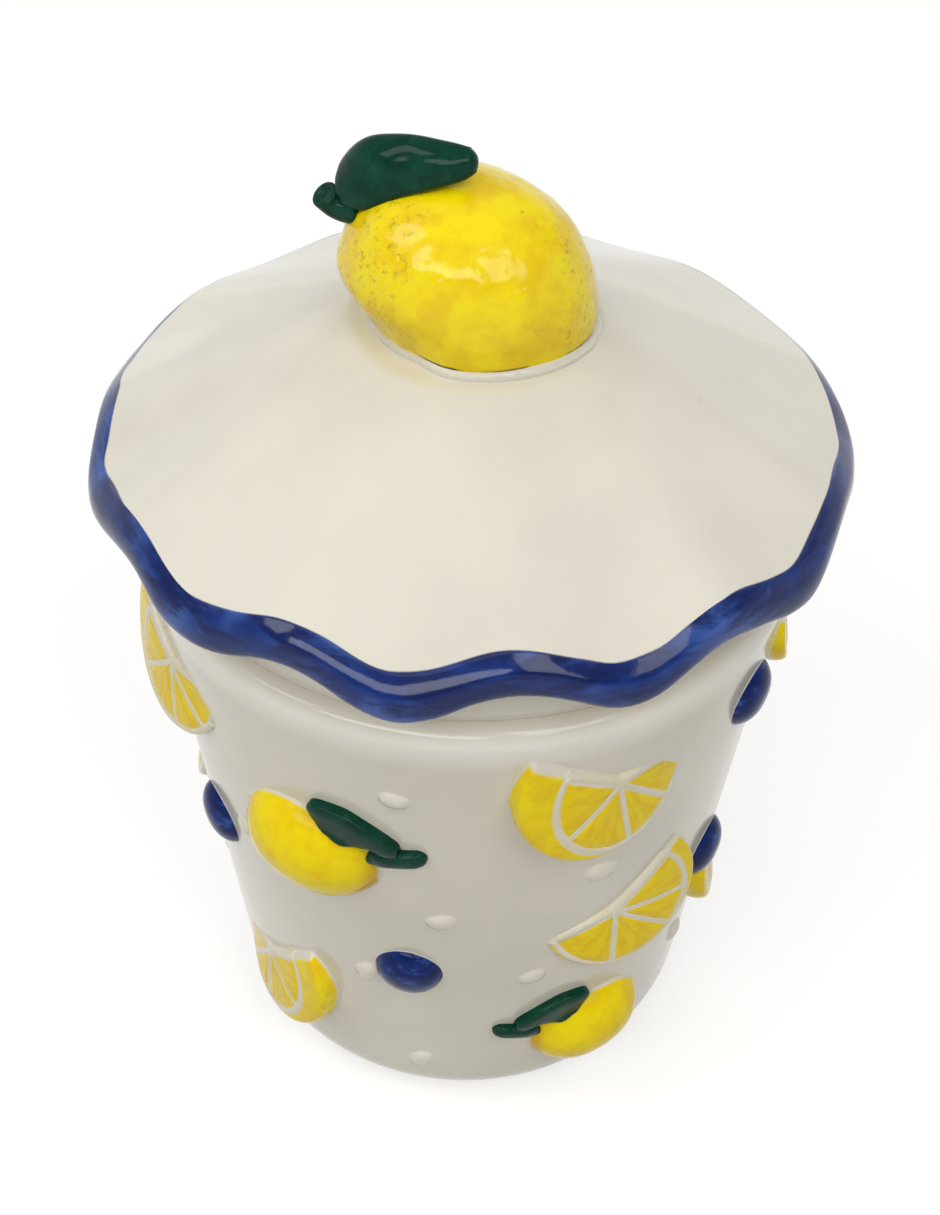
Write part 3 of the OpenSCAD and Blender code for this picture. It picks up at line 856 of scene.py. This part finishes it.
class JAMPOT_OT_rim(bpy.types.Operator):
    """Roll the cobalt rim all round the ruffled brim"""

    bl_idname = "jampot.rim"
    bl_label = "Rolled rim"

    def execute(self, context):
        s = sizes()
        edge_r = lid_heights()[1]
        outer = s.lid_r - edge_r
        bottom = s.roll_top - s.roll_height
        shares = [(0, 1), (0.45, 0.84), (0.84, 0.64), (1, 0.38), (0.96, 0.16), (0.72, 0.04),
                  (0.4, 0), (0, 0.05)]
        section = smooth_curve(
            [(edge_r + outer * a, bottom + s.roll_height * b) for a, b in shares], 4
        )
        section += line(section[-1], section[0], 6)
        roll = turned("lid_rolled_rim", section, LID_STEPS)

        def move(x, y, z):
            share = max(hypot(x, y) - edge_r, 0) / outer
            where = Vector((x, y, 0)) * 0.11
            x, y, z = ruffled(x, y, z)
            swell = 1 + share * 0.003 * (noise.noise(where) - 0.75)
            low = smooth_step(bottom + 3.4, bottom, z) * 0.5 * (noise.noise(where * 1.7) + 0.2)
            return x * swell, y * swell, z + share * low

        reshape(roll, move)
        finished(roll, "lid", ["lid_rim_roll"], cobalt_glaze())
        return {"FINISHED"}


# The knob


def lemon_radius(u, half, r, nubs=True):
    """Radius of a lemon at u along its axis: an oval body with a soft nub at each end, or
    round at the stalk and pointed at the other end."""
    if not nubs:
        share = abs(u / half)
        return r * (1 - share ** 2.2) ** 0.6 if u > 0 else r * sqrt(1 - share ** 2.3)
    body_half, nub_half, nub_r = half * 0.9, half * 0.32, r * 0.3
    from_nub = (abs(u) - (half - nub_half)) / nub_half
    body_part = r * sqrt(max(1 - abs(u / body_half) ** 2.2, 0))
    nub_part = nub_r * sqrt(max(1 - from_nub ** 2, 0)) if from_nub > -1 else 0
    return soft_max(body_part, nub_part, 0.08 * r) if abs(u) < half * 0.98 else nub_part


def settled(x, y, z):
    """Draws in the knob's lemon under its stalk end, where it leans away from the lid."""
    s = sizes()
    centre = KNOB_SHIFT * s.knob_length
    under = smooth_step(9, 0, z - s.flat) * smooth_step(1, 9, centre - x)
    return centre + (x - centre) * (1 - 0.22 * under), y * (1 - 0.08 * under), z


def placed(piece, at, *turns):
    """Turns a piece by (degrees, axis), the last turn first, and moves it to a point."""
    matrix = Matrix.Translation(Vector(at) * MM)
    for angle, axis in turns:
        matrix = matrix @ Matrix.Rotation(angle * DEGREE, 4, axis)
    piece.data.transform(matrix)


def set_on_knob(piece):
    """Sets the leaf or its stalk at the stalk end of the knob's lemon."""
    s = sizes()
    at = (-0.5 * s.knob_length, 0.16 * s.knob_r, s.flat + s.knob_lift + 0.765 * s.knob_r)
    placed(piece, at, (-14, "Z"), (-24, "Y"), (52, "X"))


class JAMPOT_OT_knob(bpy.types.Operator):
    """Model the lemon of the knob and the bead of slip round its foot"""

    bl_idname = "jampot.knob"
    bl_label = "Knob"

    def execute(self, context):
        flat = sizes().flat
        bead_edge = flat + BEAD_TOP

        def lumpy(x, y, z):
            where = Vector((x, y, z))
            grow = 1 + 0.012 * (noise.noise(where * 0.16) - 0.4) + 0.004 * noise.noise(where * 0.6)
            return x * min(grow, 1), y * grow, z * grow

        lemon = self.lying_lemon("knob_fruit", 128, move=lumpy)
        number_on_points(lemon, "worn", lambda x, y, z: smooth_step(3, 14, abs(x - 1)))
        finished(lemon, "lid", ["knob_lemon"], knob_glaze())

        def rounded(x, y, z):
            over = smooth_step(flat + 0.1, bead_edge, z)
            shrink = 1 - 0.035 * over * over
            return x * shrink, y * shrink, z

        bead = self.lying_lemon("knob_bead_of_slip", 160, longer=0.8, thicker=0.85)
        cut_at(bead, bead_edge, above=True)
        reshape(bead, rounded)
        finished(bead, "lid", ["knob_bead"], cream_glaze(), 70)
        return {"FINISHED"}

    def lying_lemon(self, name, steps, longer=0, thicker=0, move=None):
        """The form of the knob's lemon, or a larger one round it, cut off inside the lid."""
        s = sizes()
        half, stations = s.knob_length / 2, 90
        profile = []
        for i in range(stations + 1):
            u = -cos(pi * i / stations) * half
            r = lemon_radius(u, half, s.knob_r * 1.02, False) + thicker
            profile.append((0 if abs(u) == half else r, u * (half + longer) / half))
        form = turned(name, profile, steps, axis=(1, 0, 0))
        if move:
            reshape(form, move)
        placed(form, (KNOB_SHIFT * s.knob_length, 0, s.flat + s.knob_lift), (-17, "Z"), (16, "Y"))
        reshape(form, settled)
        cut_at(form, s.flat - SET_IN)
        return form


# The knob's leaf: distance from its stalk end, its two edges there, and half its thickness
KNOB_LEAF = [
    (0, 1.7, -1.2, 1.2), (1.3, 3.7, -2.3, 1.6), (3.6, 5.1, -3.1, 1.9), (6, 5.6, -3.1, 2),
    (9, 5.2, -2.9, 2), (13, 4.0, -2.9, 1.8), (16.5, 2.5, -2.7, 1.5), (18.5, 1.5, -2.1, 1.3),
    (19.6, 0.9, -1.3, 1.1),
]
# The way that its stalk curls, beside the leaf
KNOB_STALK = [
    (2.4, -2.6, -1.0), (0.7, -2.0, -0.9), (-0.6, -1.2, -0.5), (-1.2, -0.4, 0.3),
    (-1.35, 0.1, 1.2),
]


class JAMPOT_OT_knob_leaf(bpy.types.Operator):
    """Model the thick leaf of the knob and its curled, hollow stalk"""

    bl_idname = "jampot.knob_leaf"
    bl_label = "Knob leaf and stalk"

    def execute(self, context):
        outline = smooth_curve(KNOB_LEAF, 6)
        last = outline[-1][0]
        ends = [(0, 0), (0.45, 0.06), (0.8, 0.3), (0.95, 0.7)]
        profile = ends + [(1, x) for x, *rest in outline[3:-4]]
        profile += [(r, last - x) for r, x in reversed(ends)]
        leaf = turned("knob_leaf_slab", profile, 56, axis=(1, 0, 0))

        def flatten(x, y, z):
            upper, lower, thick = 1, -1, 1
            for (x0, *one), (x1, *two) in zip(outline, outline[1:]):
                if x0 <= x <= x1:
                    share = (x - x0) / (x1 - x0)
                    upper, lower, thick = (a + (b - a) * share for a, b in zip(one, two))
            bend = 1.2 * sin(pi * min(max(x / last, 0), 1))
            r = hypot(y, z)
            side, top = (y / r, z / r) if r > 1e-6 else (0, 0)
            across = (upper + lower) / 2 + (upper - lower) / 2 * side * r
            lump = 0.35 * noise.noise(Vector((x, across, 9)) * 0.22)
            full = copysign(abs(top) ** 0.85, top)
            return x, across + 0.2 * lump, thick * full * r + bend + lump

        reshape(leaf, flatten)
        set_on_knob(leaf)
        finished(leaf, "lid", ["knob_leaf"], leaf_glaze())
        self.stub()
        return {"FINISHED"}

    def stub(self):
        """A short tube that curls out from under the leaf, with a hollow end."""
        radius, steps, step = 1.85, 12, 0.45
        stub = start(bpy.ops.mesh.primitive_circle_add, "knob_stalk_stub", vertices=32,
                     radius=radius * MM, fill_type="NGON")
        with editing(stub):
            for _ in range(steps):
                extruded((0, 0, step * MM))
            for thickness, depth in ((0.35, 0.22), (0.3, -0.1), (0.2, -0.8)):
                bpy.ops.mesh.inset(thickness=thickness * MM, depth=depth * MM)
            faced_outwards()
        path = [Vector(point) for point in smooth_curve(KNOB_STALK, 10)]

        def curl(x, y, z):
            at = min(max(z / (steps * step), 0), 1.08) * (len(path) - 2)
            i = min(int(at), len(path) - 2)
            way = (path[i + 1] - path[i]).normalized()
            side = way.cross(Vector((0.2, 1, 0))).normalized()
            up = side.cross(way)
            return path[i] + (path[i + 1] - path[i]) * (at - i) + side * x + up * y

        reshape(stub, curl)
        modified(stub, "SUBSURF", levels=2, render_levels=2)
        set_on_knob(stub)
        finished(stub, "lid", ["knob_stalk"], leaf_glaze())


# The relief on the wall


def fruit_height(x, y, share=0):
    """Height of a whole lemon over the wall, with a soft fillet round its foot."""
    s = sizes()
    grown, stands_out = 1.05, 5.6
    x, y = x / grown, y / grown
    half, sink = s.fruit_length / 2, s.fruit_r - stands_out
    r = lemon_radius(min(max(x, -half), half), half, s.fruit_r)
    beyond = max(abs(x) - half, 0)
    body = sqrt(max(r * r - y * y, 0)) - sink
    if r <= abs(y) or beyond:
        body = -sink - (abs(y) - r) * 0.5 - beyond
    return soft_max(body + 0.3 * noise.noise(Vector((x, y, 3)) * 0.14), SKIRT, 0.8)


def ray_to_edge(points, middle):
    """Distance from the middle to a closed outline, as a function of the angle."""

    def reach(angle):
        dx, dy = cos(angle), sin(angle)
        best = 0
        for (ax, ay), (bx, by) in zip(points, points[1:] + points[:1]):
            ex, ey = bx - ax, by - ay
            cross = dx * ey - dy * ex
            if abs(cross) < 1e-9:
                continue
            px, py = ax - middle[0], ay - middle[1]
            t = (px * ey - py * ex) / cross
            u = (px * dy - py * dx) / cross
            if t > 0 and -1e-6 <= u <= 1 + 1e-6:
                best = max(best, t)
        return best

    return reach


LEAF_OUTLINE = [
    (-1.2, 10.9), (-0.5, 11.9), (1.4, 12.7), (4.1, 13.1), (6.5, 12.4), (8.8, 11.5),
    (10.6, 10.6), (12.0, 9.6), (12.4, 8.2), (11.2, 7.3), (9.3, 7.9), (7.0, 7.2), (5.0, 7.1),
    (3.2, 7.7), (1.3, 8.3), (-0.3, 9.3),
]
STALK_ENDS = ((9.7, 5.3), (14.9, 7.9))


def leaf_and_stalk():
    """A leaf draped over the lemon's shoulder, and its stalk, fused into one soft form."""
    middle, leaf_thick, stalk_thick = (5.8, 10.1), 0.8, 1.3
    outline = smooth_curve(LEAF_OUTLINE + LEAF_OUTLINE[:1], 4)[:-1]

    def leaf_height(x, y, share):
        base = soft_max(fruit_height(x, y), 0, 2.4)
        return base + leaf_thick * sqrt(max(1 - share ** 5, 0)) - 0.1

    leaf = relief("leaf", leaf_height, middle, 120, 24, ray_to_edge(outline, middle), 3)

    (ax, ay), (bx, by) = STALK_ENDS
    centre = ((ax + bx) / 2, (ay + by) / 2)
    reach, radius = hypot(bx - ax, by - ay) / 2, 1.4
    along = atan2(by - ay, bx - ax)

    def stalk_edge(angle):
        dx, dy = cos(angle - along), sin(angle - along)
        side = radius / max(abs(dy), 1e-6)
        if side * abs(dx) < reach:
            return side
        b = abs(dx) * reach
        return b + sqrt(max(b * b - reach * reach + radius * radius, 0))

    def stalk_height(x, y, share):
        base = soft_max(fruit_height(x, y), 0, 1.2)
        return base + stalk_thick * sqrt(max(1 - share ** 3, 0)) - 0.15

    stalk = relief("stalk", stalk_height, centre, 80, 16, stalk_edge, 3)
    whole = joined([leaf, stalk], "leaf_master")
    fused(whole, 0.2, 3)
    return whole


class JAMPOT_OT_wall_lemons(bpy.types.Operator):
    """Press the whole lemons with their leaves and stalks onto the wall"""

    bl_idname = "jampot.wall_lemons"
    bl_label = "Lemons on the wall"

    def execute(self, context):
        def ripe(x, y, z):
            return 0.8 * smooth_step(4, 10, x - y * 0.5) * smooth_step(3.2, 1.2, z)

        lemon = relief("lemon_master", fruit_height)
        number_on_points(lemon, "coat", lambda x, y, z: smooth_step(0, 0.75, z))
        number_on_points(lemon, "ripe", ripe)
        leaf = leaf_and_stalk()
        yellow, green = sprig_glaze(), leaf_glaze()
        for i, place in enumerate(FRUIT_PLACES, 1):
            sprig(lemon, place, f"wall_lemon_{i}", f"lemon_{i}", yellow)
            sprig(leaf, place, f"wall_lemon_{i}_foliage", f"lemon_{i}_leaf", green)
        removed(lemon, leaf)
        return {"FINISHED"}


FACE_TIP, FACE_SIDE = 15 * DEGREE, 10 * DEGREE
# The two kinds of slice: middle of the fan, its lines' directions from the upper left round
# to the upper right, and middle and radius of its flesh
SLICE_KINDS = {
    1: ((1.8, -0.6), (155, 221, 284, 324, 368), (2.8, -0.8), 11.2),
    0: ((2.0, -0.2), (162, 207, 242, 297, 362), (1.0, -0.4), 12.2),
}


def slice_form(side):
    """Height function of a kind of slice, and the distances that its patterns follow."""
    s = sizes()
    (cx, cy), spokes, (fx, fy), flesh_r = SLICE_KINDS[side]
    rays = [(cos(a * DEGREE), sin(a * DEGREE)) for a in spokes]
    lean = side or 0.35
    dome_height, face_height, cut_depth = 10.4, 1.2, 2.5

    def gaps(x, y):
        """Distance to the nearest white line, inwards from the arc, and down from the cut."""
        px, py = x - cx, y - cy
        r = hypot(px, py)
        line_gap = min(
            abs(px * dy - py * dx) if px * dx + py * dy > 0 else r for dx, dy in rays
        )
        dx, dy = rays[0] if x < cx else rays[-1]
        return line_gap, flesh_r - hypot(x - fx, y - fy), abs(px) * dy - py * abs(dx)

    def height(x, y, share=0):
        line_gap, arc_gap, top_gap = gaps(x, y)
        rho = hypot(x, y)
        q = rho / s.slice_r
        dome = dome_height * sqrt(1 - q * q) if q < 1 else -(rho - s.slice_r) * 1.5
        face = face_height - lean * x * tan(FACE_SIDE) - y * tan(FACE_TIP)
        lift = soft_min(face, dome, 1.0)
        lift = (lift + cut_depth) * smooth_step(-2.6, 0.2, top_gap) - cut_depth
        inside = smooth_step(0, 1.3, min(line_gap, arc_gap - 0.7))
        lift += 0.28 * inside * smooth_step(0, 2, lift)
        return soft_max(lift, SKIRT, 0.5)

    return gaps, height, rays


def slice_masters(side):
    """The body of a slice with its patterns, and the white web laid into it."""
    (cx, cy), _, (fx, fy), flesh_r = SLICE_KINDS[side]
    gaps, height, rays = slice_form(side)
    body = relief("slice_master", height, (fx, fy), 260, 56)

    def beyond(x, y):
        """1 where the lemon's skin shows, outside the flesh."""
        return smooth_step(0.1, 0.6, -gaps(x, y)[1])

    def coat(x, y, z):
        line_gap, arc_gap, top_gap = gaps(x, y)
        flesh = smooth_step(0, 0.5, min(line_gap - 0.2, arc_gap - 0.45, top_gap - 0.25))
        skin = beyond(x, y) * smooth_step(0.02, 0.7, z) * smooth_step(-0.6, 0.4, top_gap)
        return max(flesh, skin)

    number_on_points(body, "coat", coat)
    number_on_points(body, "ripe", lambda x, y, z: 1 - beyond(x, y))
    grain = []
    for vertex in body.data.vertices:
        x, y, z = vertex.co / MM
        grain += [atan2(y - cy, cx - x) * 5.5, hypot(x - cx, y - cy) * 0.22, 0]
    vector = body.data.attributes.new("grain", "FLOAT_VECTOR", "POINT")
    vector.data.foreach_set("vector", grain)

    bars = []
    for dx, dy in rays:
        run = [(cx + k * 0.5 * dx, cy + k * 0.5 * dy) for k in range(30)]
        bars.append([p for p in run if gaps(*p)[1] > 0.2 and height(*p) > 0.3])
    rim = arc((fx, fy), flesh_r - 0.2, 150, 374, 56)
    bars.append([p for p in rim if gaps(*p)[2] > 0 and height(*p) > 0.3])
    return body, web_of(bars, height)


def web_of(bars, height):
    """Thin rounded bars along paths on a slice, fused into one net."""
    bar_r, sunk = 1, 0.88
    curve = bpy.data.curves.new("web_master", "CURVE")
    curve.dimensions = "3D"
    curve.bevel_depth = bar_r * MM
    curve.bevel_resolution = 3
    curve.use_fill_caps = True
    for bar in bars:
        if len(bar) < 2:
            continue
        spline = curve.splines.new("POLY")
        spline.points.add(len(bar) - 1)
        for point, (x, y) in zip(spline.points, bar):
            point.co = (x * MM, y * MM, (height(x, y) - sunk) * MM, 1)
    web = bpy.data.objects.new("web_master", curve)
    bpy.context.collection.objects.link(web)
    select_only(web)
    bpy.ops.object.convert(target="MESH")
    web = bpy.context.object
    fused(web, 0.18, 2)
    return web


class JAMPOT_OT_slices(bpy.types.Operator):
    """Press the lemon slices and their white webs onto the wall"""

    bl_idname = "jampot.slices"
    bl_label = "Slices on the wall"

    def execute(self, context):
        yellow, white = slice_glaze(), pith_glaze()
        masters = {kind: slice_masters(kind) for kind in SLICE_KINDS}
        for i, place in enumerate(SLICE_PLACES, 1):
            body, web = masters[1 if abs(place[3]) == 1 else 0]
            sprig(body, place, f"wall_slice_{i}", f"slice_{i}", yellow)
            sprig(web, place, f"wall_slice_{i}_web", f"slice_{i}_pith", white)
        for pair in masters.values():
            removed(*pair)
        return {"FINISHED"}


class JAMPOT_OT_berries(bpy.types.Operator):
    """Press the blue berries onto the wall"""

    bl_idname = "jampot.berries"
    bl_label = "Berries"

    def execute(self, context):
        s = sizes()
        rise, sunk = 2.75, 0.35

        def edge(angle):
            around = Vector((cos(angle), sin(angle), 0))
            return s.berry_r * (1.07 + 0.05 * noise.noise(around * 0.9))

        def height(x, y, share):
            return soft_max(rise * max(1 - share ** 2.4, 0) ** 0.62 - sunk, SKIRT, 0.3)

        berry = relief("berry_master", height, (0, 0), 96, 24, edge)
        number_on_points(berry, "coat", lambda x, y, z: smooth_step(-0.06, 0.2, z))
        glaze = berry_glaze()
        for i, (angle, share) in enumerate(BERRY_PLACES, 1):
            place = (angle, share, 37 * i, 1, 1)
            sprig(berry, place, f"wall_berry_{i}", f"berry_{i}", glaze)
        removed(berry)
        return {"FINISHED"}


class JAMPOT_OT_droplets(bpy.types.Operator):
    """Set the white droplets of slip on the wall"""

    bl_idname = "jampot.droplets"
    bl_label = "White droplets"

    def execute(self, context):
        s = sizes()
        rise, sunk = 1.3, 0.42

        def edge(angle):
            return s.droplet_r * (1.35 + 0.22 * cos(2 * angle))

        def height(x, y, share):
            return soft_max(rise * sqrt(max(1 - (share * 1.12) ** 2, 0)) - sunk, SKIRT, 0.5)

        master = relief("droplet_master", height, (0, 0), 40, 10, edge)
        drops = []
        for i, (angle, share) in enumerate(DROPLET_PLACES):
            drop = copied(master, f"droplet_{i}")
            pressed_on(drop, (angle, share, -12 + 31 * (i % 3), 1, 0.85 + 0.06 * (i % 4)))
            drops.append(drop)
        removed(master)
        whole = joined(drops, "wall_droplets")
        finished(whole, "pot", ["glaze_droplets"], cream_glaze(), RELIEF_SOFT)
        return {"FINISHED"}


# The stage

# Paper of the floor, as it lights the pot and as it is seen
PAPER_LIT, PAPER_SEEN = (0.42, 0.41, 0.385), (0.62, 0.62, 0.62)
# Light from the room, low down and overhead, and the direction that it mostly comes from
ROOM_LOW, ROOM_HIGH = (1, 0.96, 0.89), (0.97, 0.98, 1)
ROOM_ABOVE = (-0.12, 0.18, 0.976)
# Lamps a metre from the point that they face: azimuth and elevation in degrees, width and
# height in metres, watts and tint. Azimuth 0 is on the camera's side.
LAMPS_AIM = Vector((0, 0, 0.09))
LAMPS = {
    "right_window": (34, 49, 0.42, 0.48, 2.45, (1, 0.985, 0.955)),
    "left_window": (-72, 50, 0.28, 0.36, 1.35, (1, 0.985, 0.96)),
    "front_window": (-22, 42, 0.8, 0.2, 2.6, (1, 1, 1)),
}
# The photograph's camera: focal length and height of the picture in pixels, and height of the
# sensor in millimetres; its place in metres; and yaw, pitch and roll in degrees
FOCAL_PIXELS, PHOTO_PIXELS, SENSOR = 1900, 1215, 36
CAMERA_AT = (0, -0.20835, 0.26673)
CAMERA_TURNS = (0.0303, 42.519, 1.127)


class JAMPOT_OT_stage(bpy.types.Operator):
    """Set the pale floor, the soft lamps and the camera of the photograph"""

    bl_idname = "jampot.stage"
    bl_label = "Stage"

    def execute(self, context):
        self.floor()
        self.room()
        for name, lamp in LAMPS.items():
            self.lamp(name, *lamp)
        self.camera()
        context.scene.view_settings.view_transform = "Standard"
        return {"FINISHED"}

    def floor(self):
        floor = start(bpy.ops.mesh.primitive_circle_add, "floor", vertices=96, radius=6,
                      fill_type="NGON", location=(0, 0, 0))
        material = bpy.data.materials.new("floor_paper")
        nodes = Nodes(material)
        ray = nodes.seen()
        paper = nodes.add("BsdfDiffuse")
        nodes.fill(paper, Color=nodes.mixed(ray, PAPER_LIT, PAPER_SEEN))
        reach = nodes.add("VectorMath", operation="LENGTH")
        nodes.put(reach.inputs[0], nodes.add("TexCoord").outputs["Object"])
        lift = nodes.ramp(reach.outputs["Value"], 0.3, 1.5, 0.53, 0.8, "LINEAR")
        glow = nodes.fill(nodes.add("Emission"), Strength=nodes.times(ray, lift))
        both = nodes.add("AddShader")
        nodes.put(both.inputs[0], paper.outputs[0])
        nodes.put(both.inputs[1], glow.outputs[0])
        nodes.put(nodes.add("OutputMaterial").inputs[0], both.outputs[0])
        floor.data.materials.append(material)

    def room(self):
        """Light from all round, stronger overhead. A low horizon is seen as white."""
        world = bpy.data.worlds.new("studio")
        nodes = Nodes(world)
        way = nodes.add("TexCoord").outputs["Generated"]
        above = nodes.add("VectorMath", operation="DOT_PRODUCT")
        nodes.put(above.inputs[0], way)
        nodes.put(above.inputs[1], ROOM_ABOVE)
        rise = nodes.ramp(above.outputs["Value"], -0.1, 1, 0.15, 0.67)
        height = nodes.fill(nodes.add("SeparateXYZ"), Vector=way).outputs["Z"]
        horizon = nodes.times(nodes.ramp(height, 0.3, 0.5, 1, 0), nodes.seen())
        strength = nodes.fill(nodes.add("Mix"), Factor=horizon, A=rise, B=1).outputs[0]
        light = nodes.fill(nodes.add("Background"), Strength=strength,
                           Color=nodes.mixed(strength, ROOM_LOW, ROOM_HIGH))
        nodes.put(nodes.add("OutputWorld").inputs[0], light.outputs[0])
        bpy.context.scene.world = world

    def lamp(self, name, azimuth, elevation, width, height, power, tint):
        """A rectangular lamp that faces the lid's brim."""
        a, e = azimuth * DEGREE, elevation * DEGREE
        back = Vector((sin(a) * cos(e), -cos(a) * cos(e), sin(e)))
        data = bpy.data.lights.new(name, "AREA")
        data.shape = "RECTANGLE"
        data.size, data.size_y = width, height
        data.energy = power
        data.color = tint
        lamp = bpy.data.objects.new(name, data)
        lamp.location = LAMPS_AIM + back
        lamp.rotation_mode = "QUATERNION"
        lamp.rotation_quaternion = back.to_track_quat("Z", "Y")
        bpy.context.collection.objects.link(lamp)

    def camera(self):
        data = bpy.data.cameras.new("photo_camera")
        data.lens = FOCAL_PIXELS * SENSOR / PHOTO_PIXELS
        camera = bpy.data.objects.new("photo_camera", data)
        yaw, pitch, roll = (angle * DEGREE for angle in CAMERA_TURNS)
        forward = Vector((sin(yaw) * cos(pitch), cos(yaw) * cos(pitch), -sin(pitch)))
        right = Vector((cos(yaw), -sin(yaw), 0))
        up = right.cross(forward)
        rolled_right = cos(roll) * right + sin(roll) * up
        rolled_up = -sin(roll) * right + cos(roll) * up
        camera.matrix_world = (
            Matrix.Translation(CAMERA_AT)
            @ Matrix((rolled_right, rolled_up, -forward)).transposed().to_4x4()
        )
        bpy.context.collection.objects.link(camera)
        bpy.context.scene.camera = camera


OPERATORS = (
    JAMPOT_OT_pot,
    JAMPOT_OT_lid,
    JAMPOT_OT_rim,
    JAMPOT_OT_knob,
    JAMPOT_OT_knob_leaf,
    JAMPOT_OT_wall_lemons,
    JAMPOT_OT_slices,
    JAMPOT_OT_berries,
    JAMPOT_OT_droplets,
    JAMPOT_OT_stage,
)


class JAMPOT_PT_panel(bpy.types.Panel):
    """Lists the steps that make the jam pot, with its sizes and colours"""

    bl_idname = "JAMPOT_PT_panel"
    bl_label = "Jam pot"
    bl_space_type = "VIEW_3D"
    bl_region_type = "UI"
    bl_category = "Jam pot"

    def draw(self, context):
        for group in (context.scene.jam_pot_sizes, context.scene.jam_pot_colours):
            box = self.layout.box()
            for name in type(group).__annotations__:
                box.prop(group, name)
        for operator in OPERATORS:
            self.layout.operator(operator.bl_idname)


CLASSES = (JamPotSizes, JamPotColours, *OPERATORS, JAMPOT_PT_panel)


def register():
    for each in CLASSES:
        bpy.utils.register_class(each)
    bpy.types.Scene.jam_pot_sizes = bpy.props.PointerProperty(type=JamPotSizes)
    bpy.types.Scene.jam_pot_colours = bpy.props.PointerProperty(type=JamPotColours)


def unregister():
    del bpy.types.Scene.jam_pot_colours
    del bpy.types.Scene.jam_pot_sizes
    for each in reversed(CLASSES):
        bpy.utils.unregister_class(each)


def main():
    register()
    for operator in OPERATORS:
        group, name = operator.bl_idname.split(".")
        getattr(getattr(bpy.ops, group), name)()


if __name__ == "__main__":
    main()
